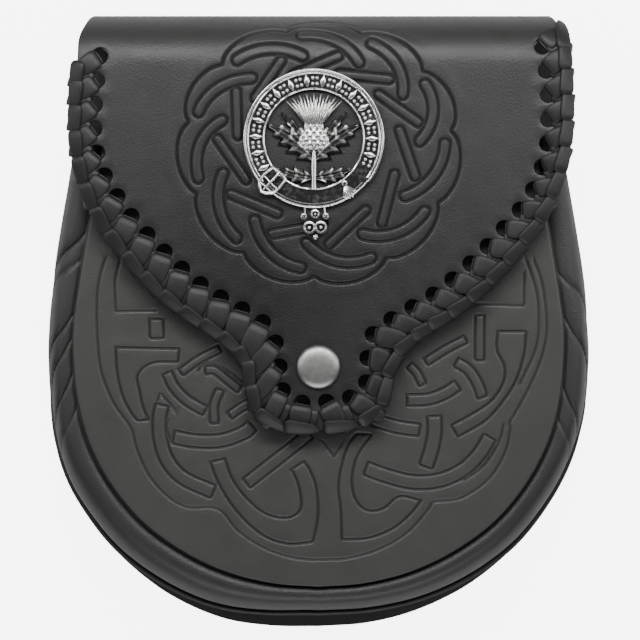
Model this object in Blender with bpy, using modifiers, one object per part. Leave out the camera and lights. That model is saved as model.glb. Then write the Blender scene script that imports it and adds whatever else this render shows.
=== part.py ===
# Day sporran pouch in black leather, lying on its back.
# Units are metres. +Z is the front of the pouch, +Y is towards the fold at its top, +X is right as seen from the front.
# The origin is under the middle of the pouch, on the surface that it lies on.

import math

import bmesh
import bpy
from mathutils import Matrix, Vector

# Driving dimensions of the body
BODY_HALF_WIDTH = 0.0885        # widest point of the gusset
BODY_LENGTH = 0.2006            # top of the fold to the bottom edge of the back
POUCH_DEPTH = 0.0330            # floor to the front panel's face
BACK_WALL = 0.0022              # leather of the back and flap, one piece
FRONT_WALL = 0.0020             # leather of the front panel
GUSSET_WALL = 0.0015            # leather of the gusset
GAP = 0.0003                    # between pieces that touch

# Mouth, seams and gusset
MOUTH_HEIGHT = 0.0600           # top edge of the front panel above the middle
MOUTH_DIP = 0.0060              # how far that edge dips in its middle
SEAM_LIP = 0.0050               # gusset tucked under the front panel
FOOT_LIP = 0.0050               # gusset turned in over the back
PIPING_RADIUS = 0.0009
LEFT_FULLNESS = 0.0026          # how much further out the lower left side has settled
CREASE_DEPTH = 0.0016
CREASE_SLANT = 0.0160           # how far a crease runs down towards the back
CREASE_WIDTH = 0.0028
CREASE_FADE = 1.15              # a crease ends this much sooner than the gusset does

# Flap, from its fold to its tab
FLAP_HALF_WIDTH = 0.0810
FLAP_LEAN = 0.0010              # how far the upper flap lies to the right
FLAP_LIFT = 0.0032              # front panel to the underside of the flap
TAB_HALF_WIDTH = 0.0222
TAB_DROP = 0.0350               # bottom of the tab below the middle of the body
SHOULDER_DROP = 0.0100          # where the slanting edge runs into the tab, below the middle

# Lacing
HOLE_RADIUS = 0.00265
HOLE_PITCH = 0.0080
LACE_WIDTH = 0.0048
LACE_NECK = 0.0026              # width of the lace where it goes through a hole
LACE_WALL = 0.0012
LACE_SLANT = 0.0052             # how far each turn of lace runs on along the edge
BRAID_HALF_WIDTH = 0.0012
LACING_TOP = 0.0150             # lacing stops this far round the fold

# Snap fastener
SNAP_DROP = 0.0146              # its middle below the middle of the body
SNAP_CAP_RADIUS = 0.00715
SNAP_CAP_RISE = 0.0021
SNAP_POST_RADIUS = 0.0019
SNAP_SOCKET_RADIUS = 0.0052
SNAP_BASE_RADIUS = 0.0056
SNAP_PLATE = 0.0009
SNAP_PLAY = 0.0003

# Badge
BADGE_X = -0.0015
BADGE_BELOW_FOLD = 0.0248
BADGE_RADIUS = 0.0230
BADGE_WALL = 0.0022
BADGE_BAND = 0.0070             # width of the ring from rim to rim
BADGE_RIM = 0.0010
BADGE_POST_RADIUS = 0.0012
BADGE_POST_HEAD = 0.0024
BADGE_TIP_LENGTH = 0.0105
BADGE_TIP_HALF_WIDTH = 0.0046

# Keepers that a belt or chain strap runs through
KEEPER_X = 0.0450
KEEPER_HALF_WIDTH = 0.0090
KEEPER_LENGTH = 0.0380
KEEPER_WALL = 0.0018
KEEPER_TAB = 0.0060
KEEPER_LEG = 0.0040
KEEPER_CLEAR = 0.0050           # room for the strap
KEEPER_BELOW_FOLD = 0.0235

# Where the back starts to rise over the keepers, and where it is level again
RISE_START_DROP = 0.0120        # below the middle of the body
RISE_END = 0.0360

# Sizes that follow from those above
TAB_BOTTOM = -TAB_DROP
TAB_SHOULDER = -SHOULDER_DROP
SNAP_HEIGHT = -SNAP_DROP
RISE_START = -RISE_START_DROP
BACK_LIFT = KEEPER_WALL + KEEPER_CLEAR
FLAP_UNDER = POUCH_DEPTH + FLAP_LIFT
FLAP_MIDDLE = FLAP_UNDER + BACK_WALL / 2
FLAP_TOP = FLAP_UNDER + BACK_WALL
FOLD_OUTER = (FLAP_TOP - BACK_LIFT) / 2
FOLD_RADIUS = FOLD_OUTER - BACK_WALL / 2
FOLD_Y = BODY_LENGTH / 2 - FOLD_OUTER
FOLD_Z = BACK_LIFT + FOLD_OUTER
BADGE_Y = FOLD_Y - BADGE_BELOW_FOLD
KEEPER_MIDDLE = FOLD_Y - KEEPER_BELOW_FOLD
FOLD_ARC = math.pi * FOLD_RADIUS
LACE_HEIGHT = BACK_WALL / 2 + GAP + LACE_WALL / 2
PANEL_UNDER = POUCH_DEPTH - FRONT_WALL
SEAM_HEIGHT = PANEL_UNDER - GAP - GUSSET_WALL / 2

# Edge of the back, from the fold round to the bottom: shares of the half width and of half the body's length
BACK_EDGE = [
    # across, up
    (0.880, 0.700),
    (0.896, 0.600),
    (0.912, 0.450),
    (0.940, 0.270),
    (0.966, 0.090),
    (0.984, -0.090),
    (0.997, -0.210),
    (0.993, -0.290),
    (0.970, -0.380),
    (0.930, -0.470),
    (0.872, -0.570),
    (0.790, -0.675),
    (0.680, -0.780),
    (0.530, -0.878),
    (0.350, -0.951),
    (0.175, -0.989),
    (0.000, -1.000),
]

# The seam of the front panel and the widest line of the gusset, section by section from the mouth to the bottom.
# foot is where the gusset meets the back, as a share of the way from the seam to the widest line.
GUSSET_SECTIONS = [
    # seam across, seam up, wide across, wide up, foot
    (0.790, 0.600, 0.893, 0.640, 0.62),
    (0.822, 0.450, 0.921, 0.480, 0.62),
    (0.850, 0.300, 0.954, 0.310, 0.64),
    (0.880, 0.140, 0.985, 0.130, 0.66),
    (0.902, 0.000, 0.998, -0.030, 0.70),
    (0.904, -0.110, 1.000, -0.150, 0.74),
    (0.890, -0.240, 0.979, -0.300, 0.80),
    (0.850, -0.380, 0.932, -0.440, 0.86),
    (0.770, -0.520, 0.846, -0.580, 0.90),
    (0.650, -0.648, 0.720, -0.718, 0.93),
    (0.500, -0.745, 0.556, -0.824, 0.95),
    (0.340, -0.812, 0.376, -0.895, 0.95),
    (0.170, -0.850, 0.188, -0.931, 0.95),
    (0.000, -0.862, 0.000, -0.941, 0.95),
]

# Cross-section of the gusset's middle surface between its two turned-in lips: the share of the way out from the seam
# to the widest line, and the share of the height from the back to the seam
GUSSET_PROFILE = [
    # out, up
    (0.02, 1.000),
    (0.30, 1.045),
    (0.55, 1.020),
    (0.76, 0.930),
    (0.88, 0.790),
    (0.92, 0.500),
    (0.88, 0.220),
]

# Where the lower left side stands out further: shares of half the length below the middle, and of the half width
FULLNESS_START = 0.20
FULLNESS_RUN = 0.35
FULLNESS_ACROSS = 0.45

# Slanting creases in the soft sides of the gusset: height where each leaves the seam, as a share of half the length
CREASES = [
    # up, depth as a share of the deepest
    (0.285, 1.0),
    (0.215, 0.6),
    (0.030, 0.8),
    (-0.040, 1.0),
    (-0.165, 0.7),
]

# Cut edge of the flap from the fold down to the tab's shoulder: shares of its half width and of the height of the fold
FLAP_EDGE = [
    # across, up
    (0.983, 1.000),
    (0.991, 0.890),
    (0.993, 0.760),
    (0.987, 0.665),
    (0.962, 0.560),
    (0.908, 0.428),
    (0.780, 0.258),
    (0.640, 0.112),
    (0.504, 0.014),
    (0.382, -0.056),
]

# Half width of the leather round the fold, as shares of the flap's, with the share of the half turn
FOLD_EDGE = [
    # across, turn
    (0.978, 0.17),
    (0.955, 0.30),
    (0.925, 0.46),
    (0.930, 0.75),
    (0.945, 0.95),
]

# Line of the lace holes. On the slanting sides: shares of the flap's half width and of the height of the fold.
# In the tab: shares of its half width and of its drop. The two sides were punched by hand and differ a little.
HOLES_LEFT = [
    # across, up
    (-0.877, 1.026),
    (-0.888, 0.943),
    (-0.897, 0.852),
    (-0.901, 0.757),
    (-0.893, 0.663),
    (-0.864, 0.570),
    (-0.756, 0.411),
    (-0.617, 0.267),
    (-0.463, 0.136),
    (-0.285, 0.036),
]
HOLES_TAB = [
    # across, down
    (-0.757, 0.043),
    (-0.595, 0.263),
    (-0.572, 0.469),
    (-0.518, 0.651),
    (-0.315, 0.743),
    (-0.009, 0.749),
    (0.369, 0.720),
    (0.662, 0.640),
    (0.712, 0.469),
    (0.734, 0.286),
    (0.838, 0.074),
]
HOLES_RIGHT = [
    # across, up
    (0.310, 0.018),
    (0.402, 0.070),
    (0.500, 0.131),
    (0.653, 0.264),
    (0.802, 0.422),
    (0.860, 0.501),
    (0.898, 0.594),
    (0.920, 0.690),
    (0.923, 0.795),
    (0.921, 0.892),
    (0.912, 0.986),
    (0.900, 1.063),
]

# Rounded bottom of the tab: shares of its half width and of its length below the shoulder
TAB_EDGE = [
    # across, down
    (1.060, 0.10),
    (1.000, 0.30),
    (1.000, 0.60),
    (0.930, 0.82),
    (0.740, 0.95),
    (0.420, 0.99),
    (0.000, 1.00),
]


def leather(name, color, roughness):
    """Plain black leather, or a metal when metallic is set later."""
    material = bpy.data.materials.new(name)
    material.use_nodes = True
    shader = material.node_tree.nodes["Principled BSDF"]
    shader.inputs["Base Color"].default_value = (*color, 1.0)
    shader.inputs["Roughness"].default_value = roughness
    material.diffuse_color = (*color, 1.0)
    return material


def metal(name, color, roughness):
    material = leather(name, color, roughness)
    material.node_tree.nodes["Principled BSDF"].inputs["Metallic"].default_value = 1.0
    material.metallic = 1.0
    return material


def add_object(name, mesh, material, collection):
    body = bpy.data.objects.new(name, mesh)
    if material is not None:
        mesh.materials.clear()
        mesh.materials.append(material)
    collection.objects.link(body)
    return body


def mesh_of(body):
    """The object's shape with its modifiers, as a new welded mesh."""
    depsgraph = bpy.context.evaluated_depsgraph_get()
    mesh = bpy.data.meshes.new_from_object(body.evaluated_get(depsgraph))
    form = bmesh.new()
    form.from_mesh(mesh)
    bmesh.ops.remove_doubles(form, verts=form.verts, dist=1e-6)
    bmesh.ops.recalc_face_normals(form, faces=form.faces)
    form.to_mesh(mesh)
    form.free()
    return mesh


def remove_object(body):
    data = body.data
    bpy.data.objects.remove(body)
    if isinstance(data, bpy.types.Curve):
        bpy.data.curves.remove(data)
    else:
        bpy.data.meshes.remove(data)


def flat_sheet(name, outlines, wall, collection):
    """A sheet in the XY plane with the first outline as its edge and the others cut through it."""
    curve = bpy.data.curves.new(name, "CURVE")
    curve.dimensions = "2D"
    curve.fill_mode = "BOTH"
    curve.extrude = wall / 2
    for outline in outlines:
        spline = curve.splines.new("POLY")
        spline.points.add(len(outline) - 1)
        for point, (x, y) in zip(spline.points, outline):
            point.co = (x, y, 0.0, 1.0)
        spline.use_cyclic_u = True
    return add_object(name, curve, None, collection)


def tube(name, path, radius, collection):
    """A round bead along a path, as a curve with filled caps."""
    curve = bpy.data.curves.new(name, "CURVE")
    curve.dimensions = "3D"
    curve.bevel_depth = radius
    curve.bevel_resolution = 1
    curve.use_fill_caps = True
    spline = curve.splines.new("POLY")
    spline.points.add(len(path) - 1)
    for point, place in zip(spline.points, path):
        point.co = (*place, 1.0)
    return add_object(name, curve, None, collection)


def turned(name, profile, steps, material, collection):
    """A solid turned round Z from (radius, height) points, top first. A ring's profile ends where it starts."""
    form = bmesh.new()
    closed = profile[0] == profile[-1]
    points = profile[:-1] if closed else profile
    verts = [form.verts.new((radius, 0.0, height)) for radius, height in points]
    for first, second in zip(verts, verts[1:]):
        form.edges.new((first, second))
    if closed:
        form.edges.new((verts[-1], verts[0]))
    mesh = bpy.data.meshes.new(name)
    form.to_mesh(mesh)
    form.free()
    body = add_object(name, mesh, material, collection)
    screw = body.modifiers.new("turn", "SCREW")
    screw.angle = 2 * math.pi
    screw.steps = steps
    screw.render_steps = steps
    screw.use_merge_vertices = True
    screw.merge_threshold = 1e-6
    screw.use_smooth_shade = False
    return body


def join_solids(base, others, operation="UNION"):
    """Boolean of the other bodies into the first, which keeps its own mesh."""
    for other in others:
        boolean = base.modifiers.new("join", "BOOLEAN")
        boolean.operation = operation
        boolean.object = other
    joined = mesh_of(base)
    base.modifiers.clear()
    old = base.data
    joined.materials.clear()
    for material in old.materials:
        joined.materials.append(material)
    base.data = joined
    bpy.data.meshes.remove(old)
    for other in others:
        remove_object(other)
    return base


def smooth_path(points, steps):
    """A rounded line through the points, by Catmull-Rom segments of so many steps each, or of a list of steps."""
    counts = steps if isinstance(steps, list) else [steps] * (len(points) - 1)
    first = 2 * points[0] - points[1]
    last = 2 * points[-1] - points[-2]
    run = [first, *points, last]
    line = []
    for before, start, end, after, count in zip(run, run[1:], run[2:], run[3:], counts):
        for step in range(count):
            t = step / count
            line.append(0.5 * (2 * start + (end - before) * t + (2 * before - 5 * start + 4 * end - after) * t ** 2
                               + (3 * start - before - 3 * end + after) * t ** 3))
    line.append(points[-1])
    return line


def spread(path, length_step):
    """Places at even steps along a path of vectors, each as an index with a fraction."""
    lengths = [0.0]
    for start, end in zip(path, path[1:]):
        lengths.append(lengths[-1] + (end - start).length)
    count = max(2, round(lengths[-1] / length_step) + 1)
    return [place_at(lengths, lengths[-1] * index / (count - 1)) for index in range(count)]


def place_at(lengths, target):
    """Where a length lies in a list of running lengths, as an index with a fraction."""
    for index in range(len(lengths) - 1):
        if target <= lengths[index + 1] or index == len(lengths) - 2:
            span = lengths[index + 1] - lengths[index]
            return index + min(1.0, max(0.0, (target - lengths[index]) / span))
    return 0.0


def read_at(items, place):
    index = min(int(place), len(items) - 2)
    return items[index].lerp(items[index + 1], place - index)


def ease(value):
    """A smooth step from 0 to 1."""
    share = min(1.0, max(0.0, value))
    return share * share * (3 - 2 * share)


def back_rise(y):
    """How far the back is lifted off the floor at this height, to pass over the keepers."""
    return BACK_LIFT * ease((y - RISE_START) / (RISE_END - RISE_START))


def bend(x, along, above):
    """A point of the flat pattern on the folded sheet. above is measured from the middle of the leather."""
    if along <= FOLD_Y:
        return Vector((x, along, FLAP_MIDDLE + above))
    turn = (along - FOLD_Y) / FOLD_RADIUS
    if turn <= math.pi:
        radius = FOLD_RADIUS + above
        return Vector((x, FOLD_Y + radius * math.sin(turn), FOLD_Z + radius * math.cos(turn)))
    y = FOLD_Y - (along - FOLD_Y - FOLD_ARC)
    return Vector((x, y, back_rise(y) + BACK_WALL / 2 - above))


def bend_mesh(mesh, rows):
    """Cut a flat mesh along rows across it, then fold it."""
    form = bmesh.new()
    form.from_mesh(mesh)
    for row in rows:
        geometry = [*form.verts, *form.edges, *form.faces]
        bmesh.ops.bisect_plane(form, geom=geometry, dist=1e-5, plane_co=(0.0, row, 0.0), plane_no=(0.0, 1.0, 0.0))
    bmesh.ops.triangulate(form, faces=form.faces)
    for vert in form.verts:
        vert.co = bend(*vert.co)
    bmesh.ops.recalc_face_normals(form, faces=form.faces)
    form.to_mesh(mesh)
    form.free()


def fold_rows(turns=10):
    return [FOLD_Y + FOLD_ARC * step / turns for step in range(turns + 1)]


def back_rows(steps=12):
    """Rows of the flat pattern where the back rises over the keepers."""
    heights = [RISE_START + (RISE_END - RISE_START) * step / steps for step in range(steps + 1)]
    return [FOLD_Y + FOLD_ARC + FOLD_Y - height for height in heights]


def fuller(point, sign):
    """A point of the right half of the lower body, moved outwards where it stands for the fuller left side."""
    if sign > 0:
        return point
    low = ease((-point.y / (BODY_LENGTH / 2) - FULLNESS_START) / FULLNESS_RUN)
    wide = ease(point.x / (BODY_HALF_WIDTH * FULLNESS_ACROSS))
    return point + point.normalized() * LEFT_FULLNESS * low * wide


def flap_half_edge(sign):
    """Cut edge of one half of the flap on the flat pattern, drawn as a right half, from the fold to the tab."""
    tab_length = TAB_SHOULDER - TAB_BOTTOM
    lean = sign * FLAP_LEAN
    points = [Vector((FLAP_HALF_WIDTH * across + lean, FOLD_Y + FOLD_ARC * turn, 0))
              for across, turn in FOLD_EDGE[2::-1]]
    points += [Vector((FLAP_HALF_WIDTH * across + lean * max(0.0, up), FOLD_Y * up, 0)) for across, up in FLAP_EDGE]
    points += [Vector((TAB_HALF_WIDTH * across, TAB_SHOULDER - tab_length * down, 0)) for across, down in TAB_EDGE]
    return smooth_path(points, 2)


def back_half_edge(sign):
    """Cut edge of one half of the back on the flat pattern, drawn as a right half, from the fold to the bottom."""
    points = [Vector((FLAP_HALF_WIDTH * across + sign * FLAP_LEAN, FOLD_Y + FOLD_ARC * turn, 0))
              for across, turn in FOLD_EDGE[2:]]
    half = BODY_LENGTH / 2
    for across, up in BACK_EDGE:
        spot = fuller(Vector((BODY_HALF_WIDTH * across, half * up, 0)), sign)
        points.append(Vector((spot.x, FOLD_Y + FOLD_ARC + FOLD_Y - spot.y, 0)))
    return smooth_path(points, 2)


def mirrored(half):
    """A closed outline from a right half whose ends lie on the middle line."""
    return closed(half, half)


def closed(right, left):
    """A closed outline from its two halves, both drawn as right halves whose ends lie on the middle line."""
    return right + [Vector((-point.x, point.y, 0)) for point in left[-2:0:-1]]


def lacing_edge():
    """The flap's cut edge from the left end of the lacing to its right end."""
    limit = FOLD_Y + LACING_TOP
    right = [point for point in flap_half_edge(1) if point.y <= limit]
    left = [Vector((-point.x, point.y, 0)) for point in flap_half_edge(-1) if point.y <= limit]
    return left + right[-2::-1]


def lace_holes():
    """Centres of the holes on the flat pattern, evenly along their line from its left end to its right end."""
    points = [Vector((FLAP_HALF_WIDTH * across, FOLD_Y * up, 0)) for across, up in HOLES_LEFT]
    points += [Vector((TAB_HALF_WIDTH * across, -TAB_DROP * down, 0)) for across, down in HOLES_TAB]
    points += [Vector((FLAP_HALF_WIDTH * across, FOLD_Y * up, 0)) for across, up in HOLES_RIGHT]
    line = smooth_path(points, 4)
    return [read_at(line, place) for place in spread(line, HOLE_PITCH)]


def nearest_place(path, point):
    """Where a path passes nearest to a point, as an index with a fraction."""
    best = (math.inf, 0.0)
    for index, (start, end) in enumerate(zip(path, path[1:])):
        run = end - start
        share = min(1.0, max(0.0, (point - start).dot(run) / run.dot(run)))
        best = min(best, ((point - start - run * share).length, index + share))
    return best[1]


def lacing_stations():
    """Hole centre, and the way out from it to the edge, for every turn of lace. Each turn's place on the edge is
    the mean of those nearest to its own hole and to the holes beside it, so the turns never cross."""
    edge = lacing_edge()
    edge = [read_at(edge, place) for place in spread(edge, HOLE_PITCH / 4)]
    holes = lace_holes()
    places = [nearest_place(edge, hole) for hole in holes]
    stations = []
    for index, hole in enumerate(holes):
        reach = min(2, index, len(holes) - 1 - index)
        beside = places[index - reach:index + reach + 1]
        place = sum(beside) / len(beside)
        ahead = read_at(edge, min(place + 1, len(edge) - 1)) - read_at(edge, max(place - 1, 0))
        stations.append((hole, read_at(edge, place) + ahead.normalized() * LACE_SLANT - hole))
    return stations


def ring_points(center, radius, sides, turn=0.0):
    return [(center[0] + radius * math.cos(turn + 2 * math.pi * step / sides),
             center[1] + radius * math.sin(turn + 2 * math.pi * step / sides)) for step in range(sides)]


def badge_post_places():
    reach = BADGE_RADIUS - BADGE_BAND / 2
    return [(BADGE_X - reach, BADGE_Y), (BADGE_X + reach, BADGE_Y)]


def make_back_and_flap(collection, material):
    """The back, the fold and the flap, cut from one sheet, punched and then folded over the top."""
    halves = [[*flap_half_edge(sign)[::-1], *back_half_edge(sign)[1:]] for sign in (1, -1)]
    outlines = [[(point.x, point.y) for point in closed(*halves)]]
    for hole, out in lacing_stations():
        outlines.append(ring_points(hole, HOLE_RADIUS, 8, math.atan2(out.y, out.x)))
    outlines.append(ring_points((0.0, SNAP_HEIGHT), SNAP_POST_RADIUS + GAP, 10))
    for place in badge_post_places():
        outlines.append(ring_points(place, BADGE_POST_RADIUS + GAP, 8))
    sheet = flat_sheet("sheet", outlines, BACK_WALL, collection)
    mesh = mesh_of(sheet)
    remove_object(sheet)
    bend_mesh(mesh, fold_rows() + back_rows())
    return add_object("back_and_flap", mesh, material, collection)


def seam_points():
    """The seam line of the front panel, from the mouth at the right to the bottom."""
    half = BODY_LENGTH / 2
    return [Vector((BODY_HALF_WIDTH * row[0], half * row[1], 0)) for row in GUSSET_SECTIONS]


def make_front_panel(collection, material):
    """The stiff U-shaped panel, whose edge lies on the gusset's lip."""
    seam = smooth_path(seam_points(), 3)
    top = [Vector((seam[0].x * share, MOUTH_HEIGHT - MOUTH_DIP * (1 - share * share), 0))
           for share in (0.0, 0.3, 0.6, 0.85)]
    half = top + [point for point in seam if point.y <= MOUTH_HEIGHT + GAP]
    outline = [(point.x, point.y) for point in mirrored(half)]
    hole = ring_points((0.0, SNAP_HEIGHT), SNAP_POST_RADIUS + GAP, 10)
    panel = flat_sheet("front_panel_sheet", [outline, hole], FRONT_WALL, collection)
    mesh = mesh_of(panel)
    remove_object(panel)
    body = add_object("front_panel", mesh, material, collection)
    body.location.z = POUCH_DEPTH - FRONT_WALL / 2
    return body


def crease_depth(y_seam, share):
    """Depth of the creases where a section leaves the seam at y_seam, at a share of the way to the back."""
    half = BODY_LENGTH / 2
    depth = 0.0
    for up, amount in CREASES:
        distance = y_seam - (half * up - CREASE_SLANT * share)
        depth += amount * math.exp(-(distance / CREASE_WIDTH) ** 2)
    return CREASE_DEPTH * depth * math.sin(math.pi * min(1.0, share * CREASE_FADE))


def gusset_sections():
    """Sections of the right half of the gusset, from the mouth to the bottom: seam, widest line, foot share.
    They lie closer together where the gusset is creased."""
    half = BODY_LENGTH / 2
    steps = [3 if row[1] > CREASES[-1][0] else 2 for row in GUSSET_SECTIONS[:-1]]
    seam = smooth_path([Vector((BODY_HALF_WIDTH * row[0], half * row[1], row[4])) for row in GUSSET_SECTIONS], steps)
    wide = smooth_path([Vector((BODY_HALF_WIDTH * row[2], half * row[3], 0)) for row in GUSSET_SECTIONS], steps)
    return list(zip(seam, wide))


def gusset_ring(seam, wide, sign):
    """Points across the gusset at one section, from the lip under the front panel to the lip on the back."""
    start = Vector((seam.x, seam.y, 0))
    reach = fuller(wide, sign) - start
    outward = reach.normalized()
    foot = start + reach * seam.z
    rest = BACK_WALL + GAP + GUSSET_WALL / 2
    foot_height = back_rise(foot.y) + rest
    places = [(start - outward * SEAM_LIP, SEAM_HEIGHT)]
    highest = max(up for _, up in GUSSET_PROFILE)
    for out, up in GUSSET_PROFILE:
        height = foot_height + (SEAM_HEIGHT - foot_height) * up
        crease = crease_depth(seam.y, 1 - up / highest)
        spot = start + reach * out - outward * crease
        places.append((spot, height))
    bend_radius = GUSSET_WALL * 0.9
    places.append((foot, foot_height + bend_radius * 1.1))
    for inward, rise in ((0.4, 0.35), (1.5, 0.0), (1.5 + FOOT_LIP / bend_radius, 0.0)):
        spot = foot - outward * bend_radius * inward
        places.append((spot, back_rise(spot.y) + rest + bend_radius * rise))
    return [Vector((sign * spot.x, spot.y, height)) for spot, height in places]


def make_gusset(collection, material):
    """The soft side wall, a band from the front panel's seam to the back, creased at its upper sides."""
    sections = gusset_sections()
    rings = [gusset_ring(seam, wide, 1) for seam, wide in sections]
    rings += [gusset_ring(seam, wide, -1) for seam, wide in sections[-2::-1]]
    form = bmesh.new()
    grid = [[form.verts.new(place) for place in ring] for ring in rings]
    for ring, following in zip(grid, grid[1:]):
        for index in range(len(ring) - 1):
            form.faces.new((ring[index], following[index], following[index + 1], ring[index + 1]))
    mesh = bpy.data.meshes.new("gusset")
    form.to_mesh(mesh)
    form.free()
    body = add_object("gusset", mesh, material, collection)
    wall = body.modifiers.new("wall", "SOLIDIFY")
    wall.thickness = GUSSET_WALL
    wall.offset = 0.0
    wall.use_even_offset = False
    return body


def piping_spot(seam, wide, sign):
    """A place on the bead's middle line, just outside the gusset's foot."""
    start = Vector((seam.x, seam.y, 0))
    reach = fuller(wide, sign) - start
    spot = start + reach * seam.z + reach.normalized() * (GUSSET_WALL / 2 + GAP + PIPING_RADIUS)
    return Vector((sign * spot.x, spot.y, back_rise(spot.y) + BACK_WALL + GAP + PIPING_RADIUS))


def make_piping(collection, material):
    """The thin round bead on the back, along the foot of the gusset."""
    path = [piping_spot(seam, wide, 1) for seam, wide in gusset_sections()]
    path += [piping_spot(seam, wide, -1) for seam, wide in gusset_sections()[-2::-1]]
    bead = tube("bead", path, PIPING_RADIUS, collection)
    mesh = mesh_of(bead)
    remove_object(bead)
    return add_object("piping", mesh, material, collection)


def lace_turn(hole, out, raised):
    """One turn of lace: out of a hole, over the edge and back under the flap into the same hole."""
    length = out.length
    outward = out.normalized()
    across = Vector((-outward.y, outward.x, 0))
    far = length + GAP + BRAID_HALF_WIDTH
    corner = LACE_WALL / 2
    level = LACE_HEIGHT + raised
    stops = [
        # out, height, width, tilt of the section from level to upright
        (far, level, LACE_WIDTH, 0.0),
        (HOLE_RADIUS * 1.1, level, LACE_WIDTH, 0.0),
        (corner, level - corner * 0.2, LACE_NECK, 0.5),
        (corner, -level + corner * 0.2, LACE_NECK, 1.5),
        (far, -level, LACE_WIDTH, 2.0),
    ]
    form = bmesh.new()
    rings = []
    for reach, height, width, tilt in stops:
        normal_angle = math.pi / 2 * (1 + tilt)
        normal = outward * math.cos(normal_angle) + Vector((0, 0, math.sin(normal_angle)))
        center = hole + outward * reach + Vector((0, 0, height))
        side = across * width / 2
        lift = normal * LACE_WALL / 2
        if tilt in (0.5, 1.5):
            lift *= math.sqrt(2)
        rings.append([form.verts.new(center + side + lift), form.verts.new(center - side + lift),
                      form.verts.new(center - side - lift), form.verts.new(center + side - lift)])
    for ring, following in zip(rings, rings[1:]):
        for index in range(4):
            form.faces.new((ring[index], following[index], following[index - 1], ring[index - 1]))
    form.faces.new(rings[0])
    form.faces.new(rings[-1][::-1])
    bmesh.ops.recalc_face_normals(form, faces=form.faces)
    mesh = bpy.data.meshes.new("turn")
    form.to_mesh(mesh)
    form.free()
    return mesh


def braid_roll(collection):
    """The braided ridge just outside the flap's cut edge, flat as the pattern is."""
    edge = lacing_edge()
    height = BACK_WALL / 2 + GAP + LACE_WALL * 1.3
    section = [(-1.0, -0.7), (-1.0, 0.7), (0.0, 1.0), (1.0, 0.5), (1.0, -0.5), (0.0, -1.0)]
    form = bmesh.new()
    rings = []
    for index, corner in enumerate(edge):
        ahead = edge[min(index + 1, len(edge) - 1)] - corner
        behind = corner - edge[max(index - 1, 0)]
        before = (behind if behind.length else ahead).normalized()
        after = (ahead if ahead.length else behind).normalized()
        run = (before + after).normalized()
        outward = Vector((run.y, -run.x, 0)) / max(0.5, run.dot(after))
        ring = []
        for out, up in section:
            place = corner + outward * (GAP + BRAID_HALF_WIDTH * (1 + out)) + Vector((0, 0, up * height))
            ring.append(form.verts.new(place))
        rings.append(ring)
    for ring, following in zip(rings, rings[1:]):
        for index in range(len(ring)):
            form.faces.new((ring[index], following[index], following[index - 1], ring[index - 1]))
    form.faces.new(rings[0])
    form.faces.new(rings[-1][::-1])
    bmesh.ops.recalc_face_normals(form, faces=form.faces)
    mesh = bpy.data.meshes.new("edge_lacing")
    form.to_mesh(mesh)
    form.free()
    return add_object("edge_lacing", mesh, None, collection)


def make_edge_lacing(collection, material):
    """All turns of the lace and the ridge that they make along the edge, as one body."""
    roll = braid_roll(collection)
    turns = []
    for index, (hole, out) in enumerate(lacing_stations()):
        raised = LACE_WALL * 0.1 * (index % 3)
        turns.append(add_object("turn", lace_turn(hole, out, raised), None, collection))
    body = join_solids(roll, turns)
    bend_mesh(body.data, fold_rows())
    body.data.materials.append(material)
    return body


def make_snap_cap(collection, material):
    """The visible domed cap, its post through the flap and the socket under the flap."""
    top = FLAP_TOP + GAP
    rim = top + SNAP_PLATE
    under = FLAP_UNDER - GAP
    floor = POUCH_DEPTH + GAP
    head = SNAP_POST_RADIUS + SNAP_PLAY
    roof = under - SNAP_PLATE
    profile = [
        (0.0, rim + SNAP_CAP_RISE - SNAP_PLATE),
        (SNAP_CAP_RADIUS * 0.45, rim + (SNAP_CAP_RISE - SNAP_PLATE) * 0.85),
        (SNAP_CAP_RADIUS * 0.80, rim + (SNAP_CAP_RISE - SNAP_PLATE) * 0.45),
        (SNAP_CAP_RADIUS, rim - SNAP_PLATE * 0.4),
        (SNAP_CAP_RADIUS, top),
        (SNAP_POST_RADIUS, top),
        (SNAP_POST_RADIUS, under),
        (SNAP_SOCKET_RADIUS, under),
        (SNAP_SOCKET_RADIUS, floor),
        (head + SNAP_PLATE * 0.4, floor),
        (head + SNAP_PLATE * 0.4, roof),
        (0.0, roof),
    ]
    body = turned("snap_cap", profile, 18, material, collection)
    body.location = (0.0, SNAP_HEIGHT, 0.0)
    return body


def make_snap_post(collection, material):
    """The hidden half of the snap: a flange inside the pouch and a headed post through the front panel."""
    roof = FLAP_UNDER - GAP - SNAP_PLATE - SNAP_PLAY
    flange = PANEL_UNDER - GAP
    neck = SNAP_POST_RADIUS * 0.8
    profile = [
        (0.0, roof),
        (SNAP_POST_RADIUS * 0.8, roof),
        (SNAP_POST_RADIUS, roof - SNAP_PLATE * 0.4),
        (neck, POUCH_DEPTH),
        (neck, flange),
        (SNAP_BASE_RADIUS, flange),
        (SNAP_BASE_RADIUS, flange - SNAP_PLATE),
        (0.0, flange - SNAP_PLATE),
    ]
    body = turned("snap_post", profile, 16, material, collection)
    body.location = (0.0, SNAP_HEIGHT, 0.0)
    return body


def extruded(name, outlines, bottom, top, collection):
    """A flat outline as a solid between two heights, as a mesh object."""
    sheet = flat_sheet(name + "_outline", outlines, top - bottom, collection)
    mesh = mesh_of(sheet)
    remove_object(sheet)
    mesh.transform(Matrix.Translation((0, 0, (top + bottom) / 2)))
    return add_object(name, mesh, None, collection)


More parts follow.
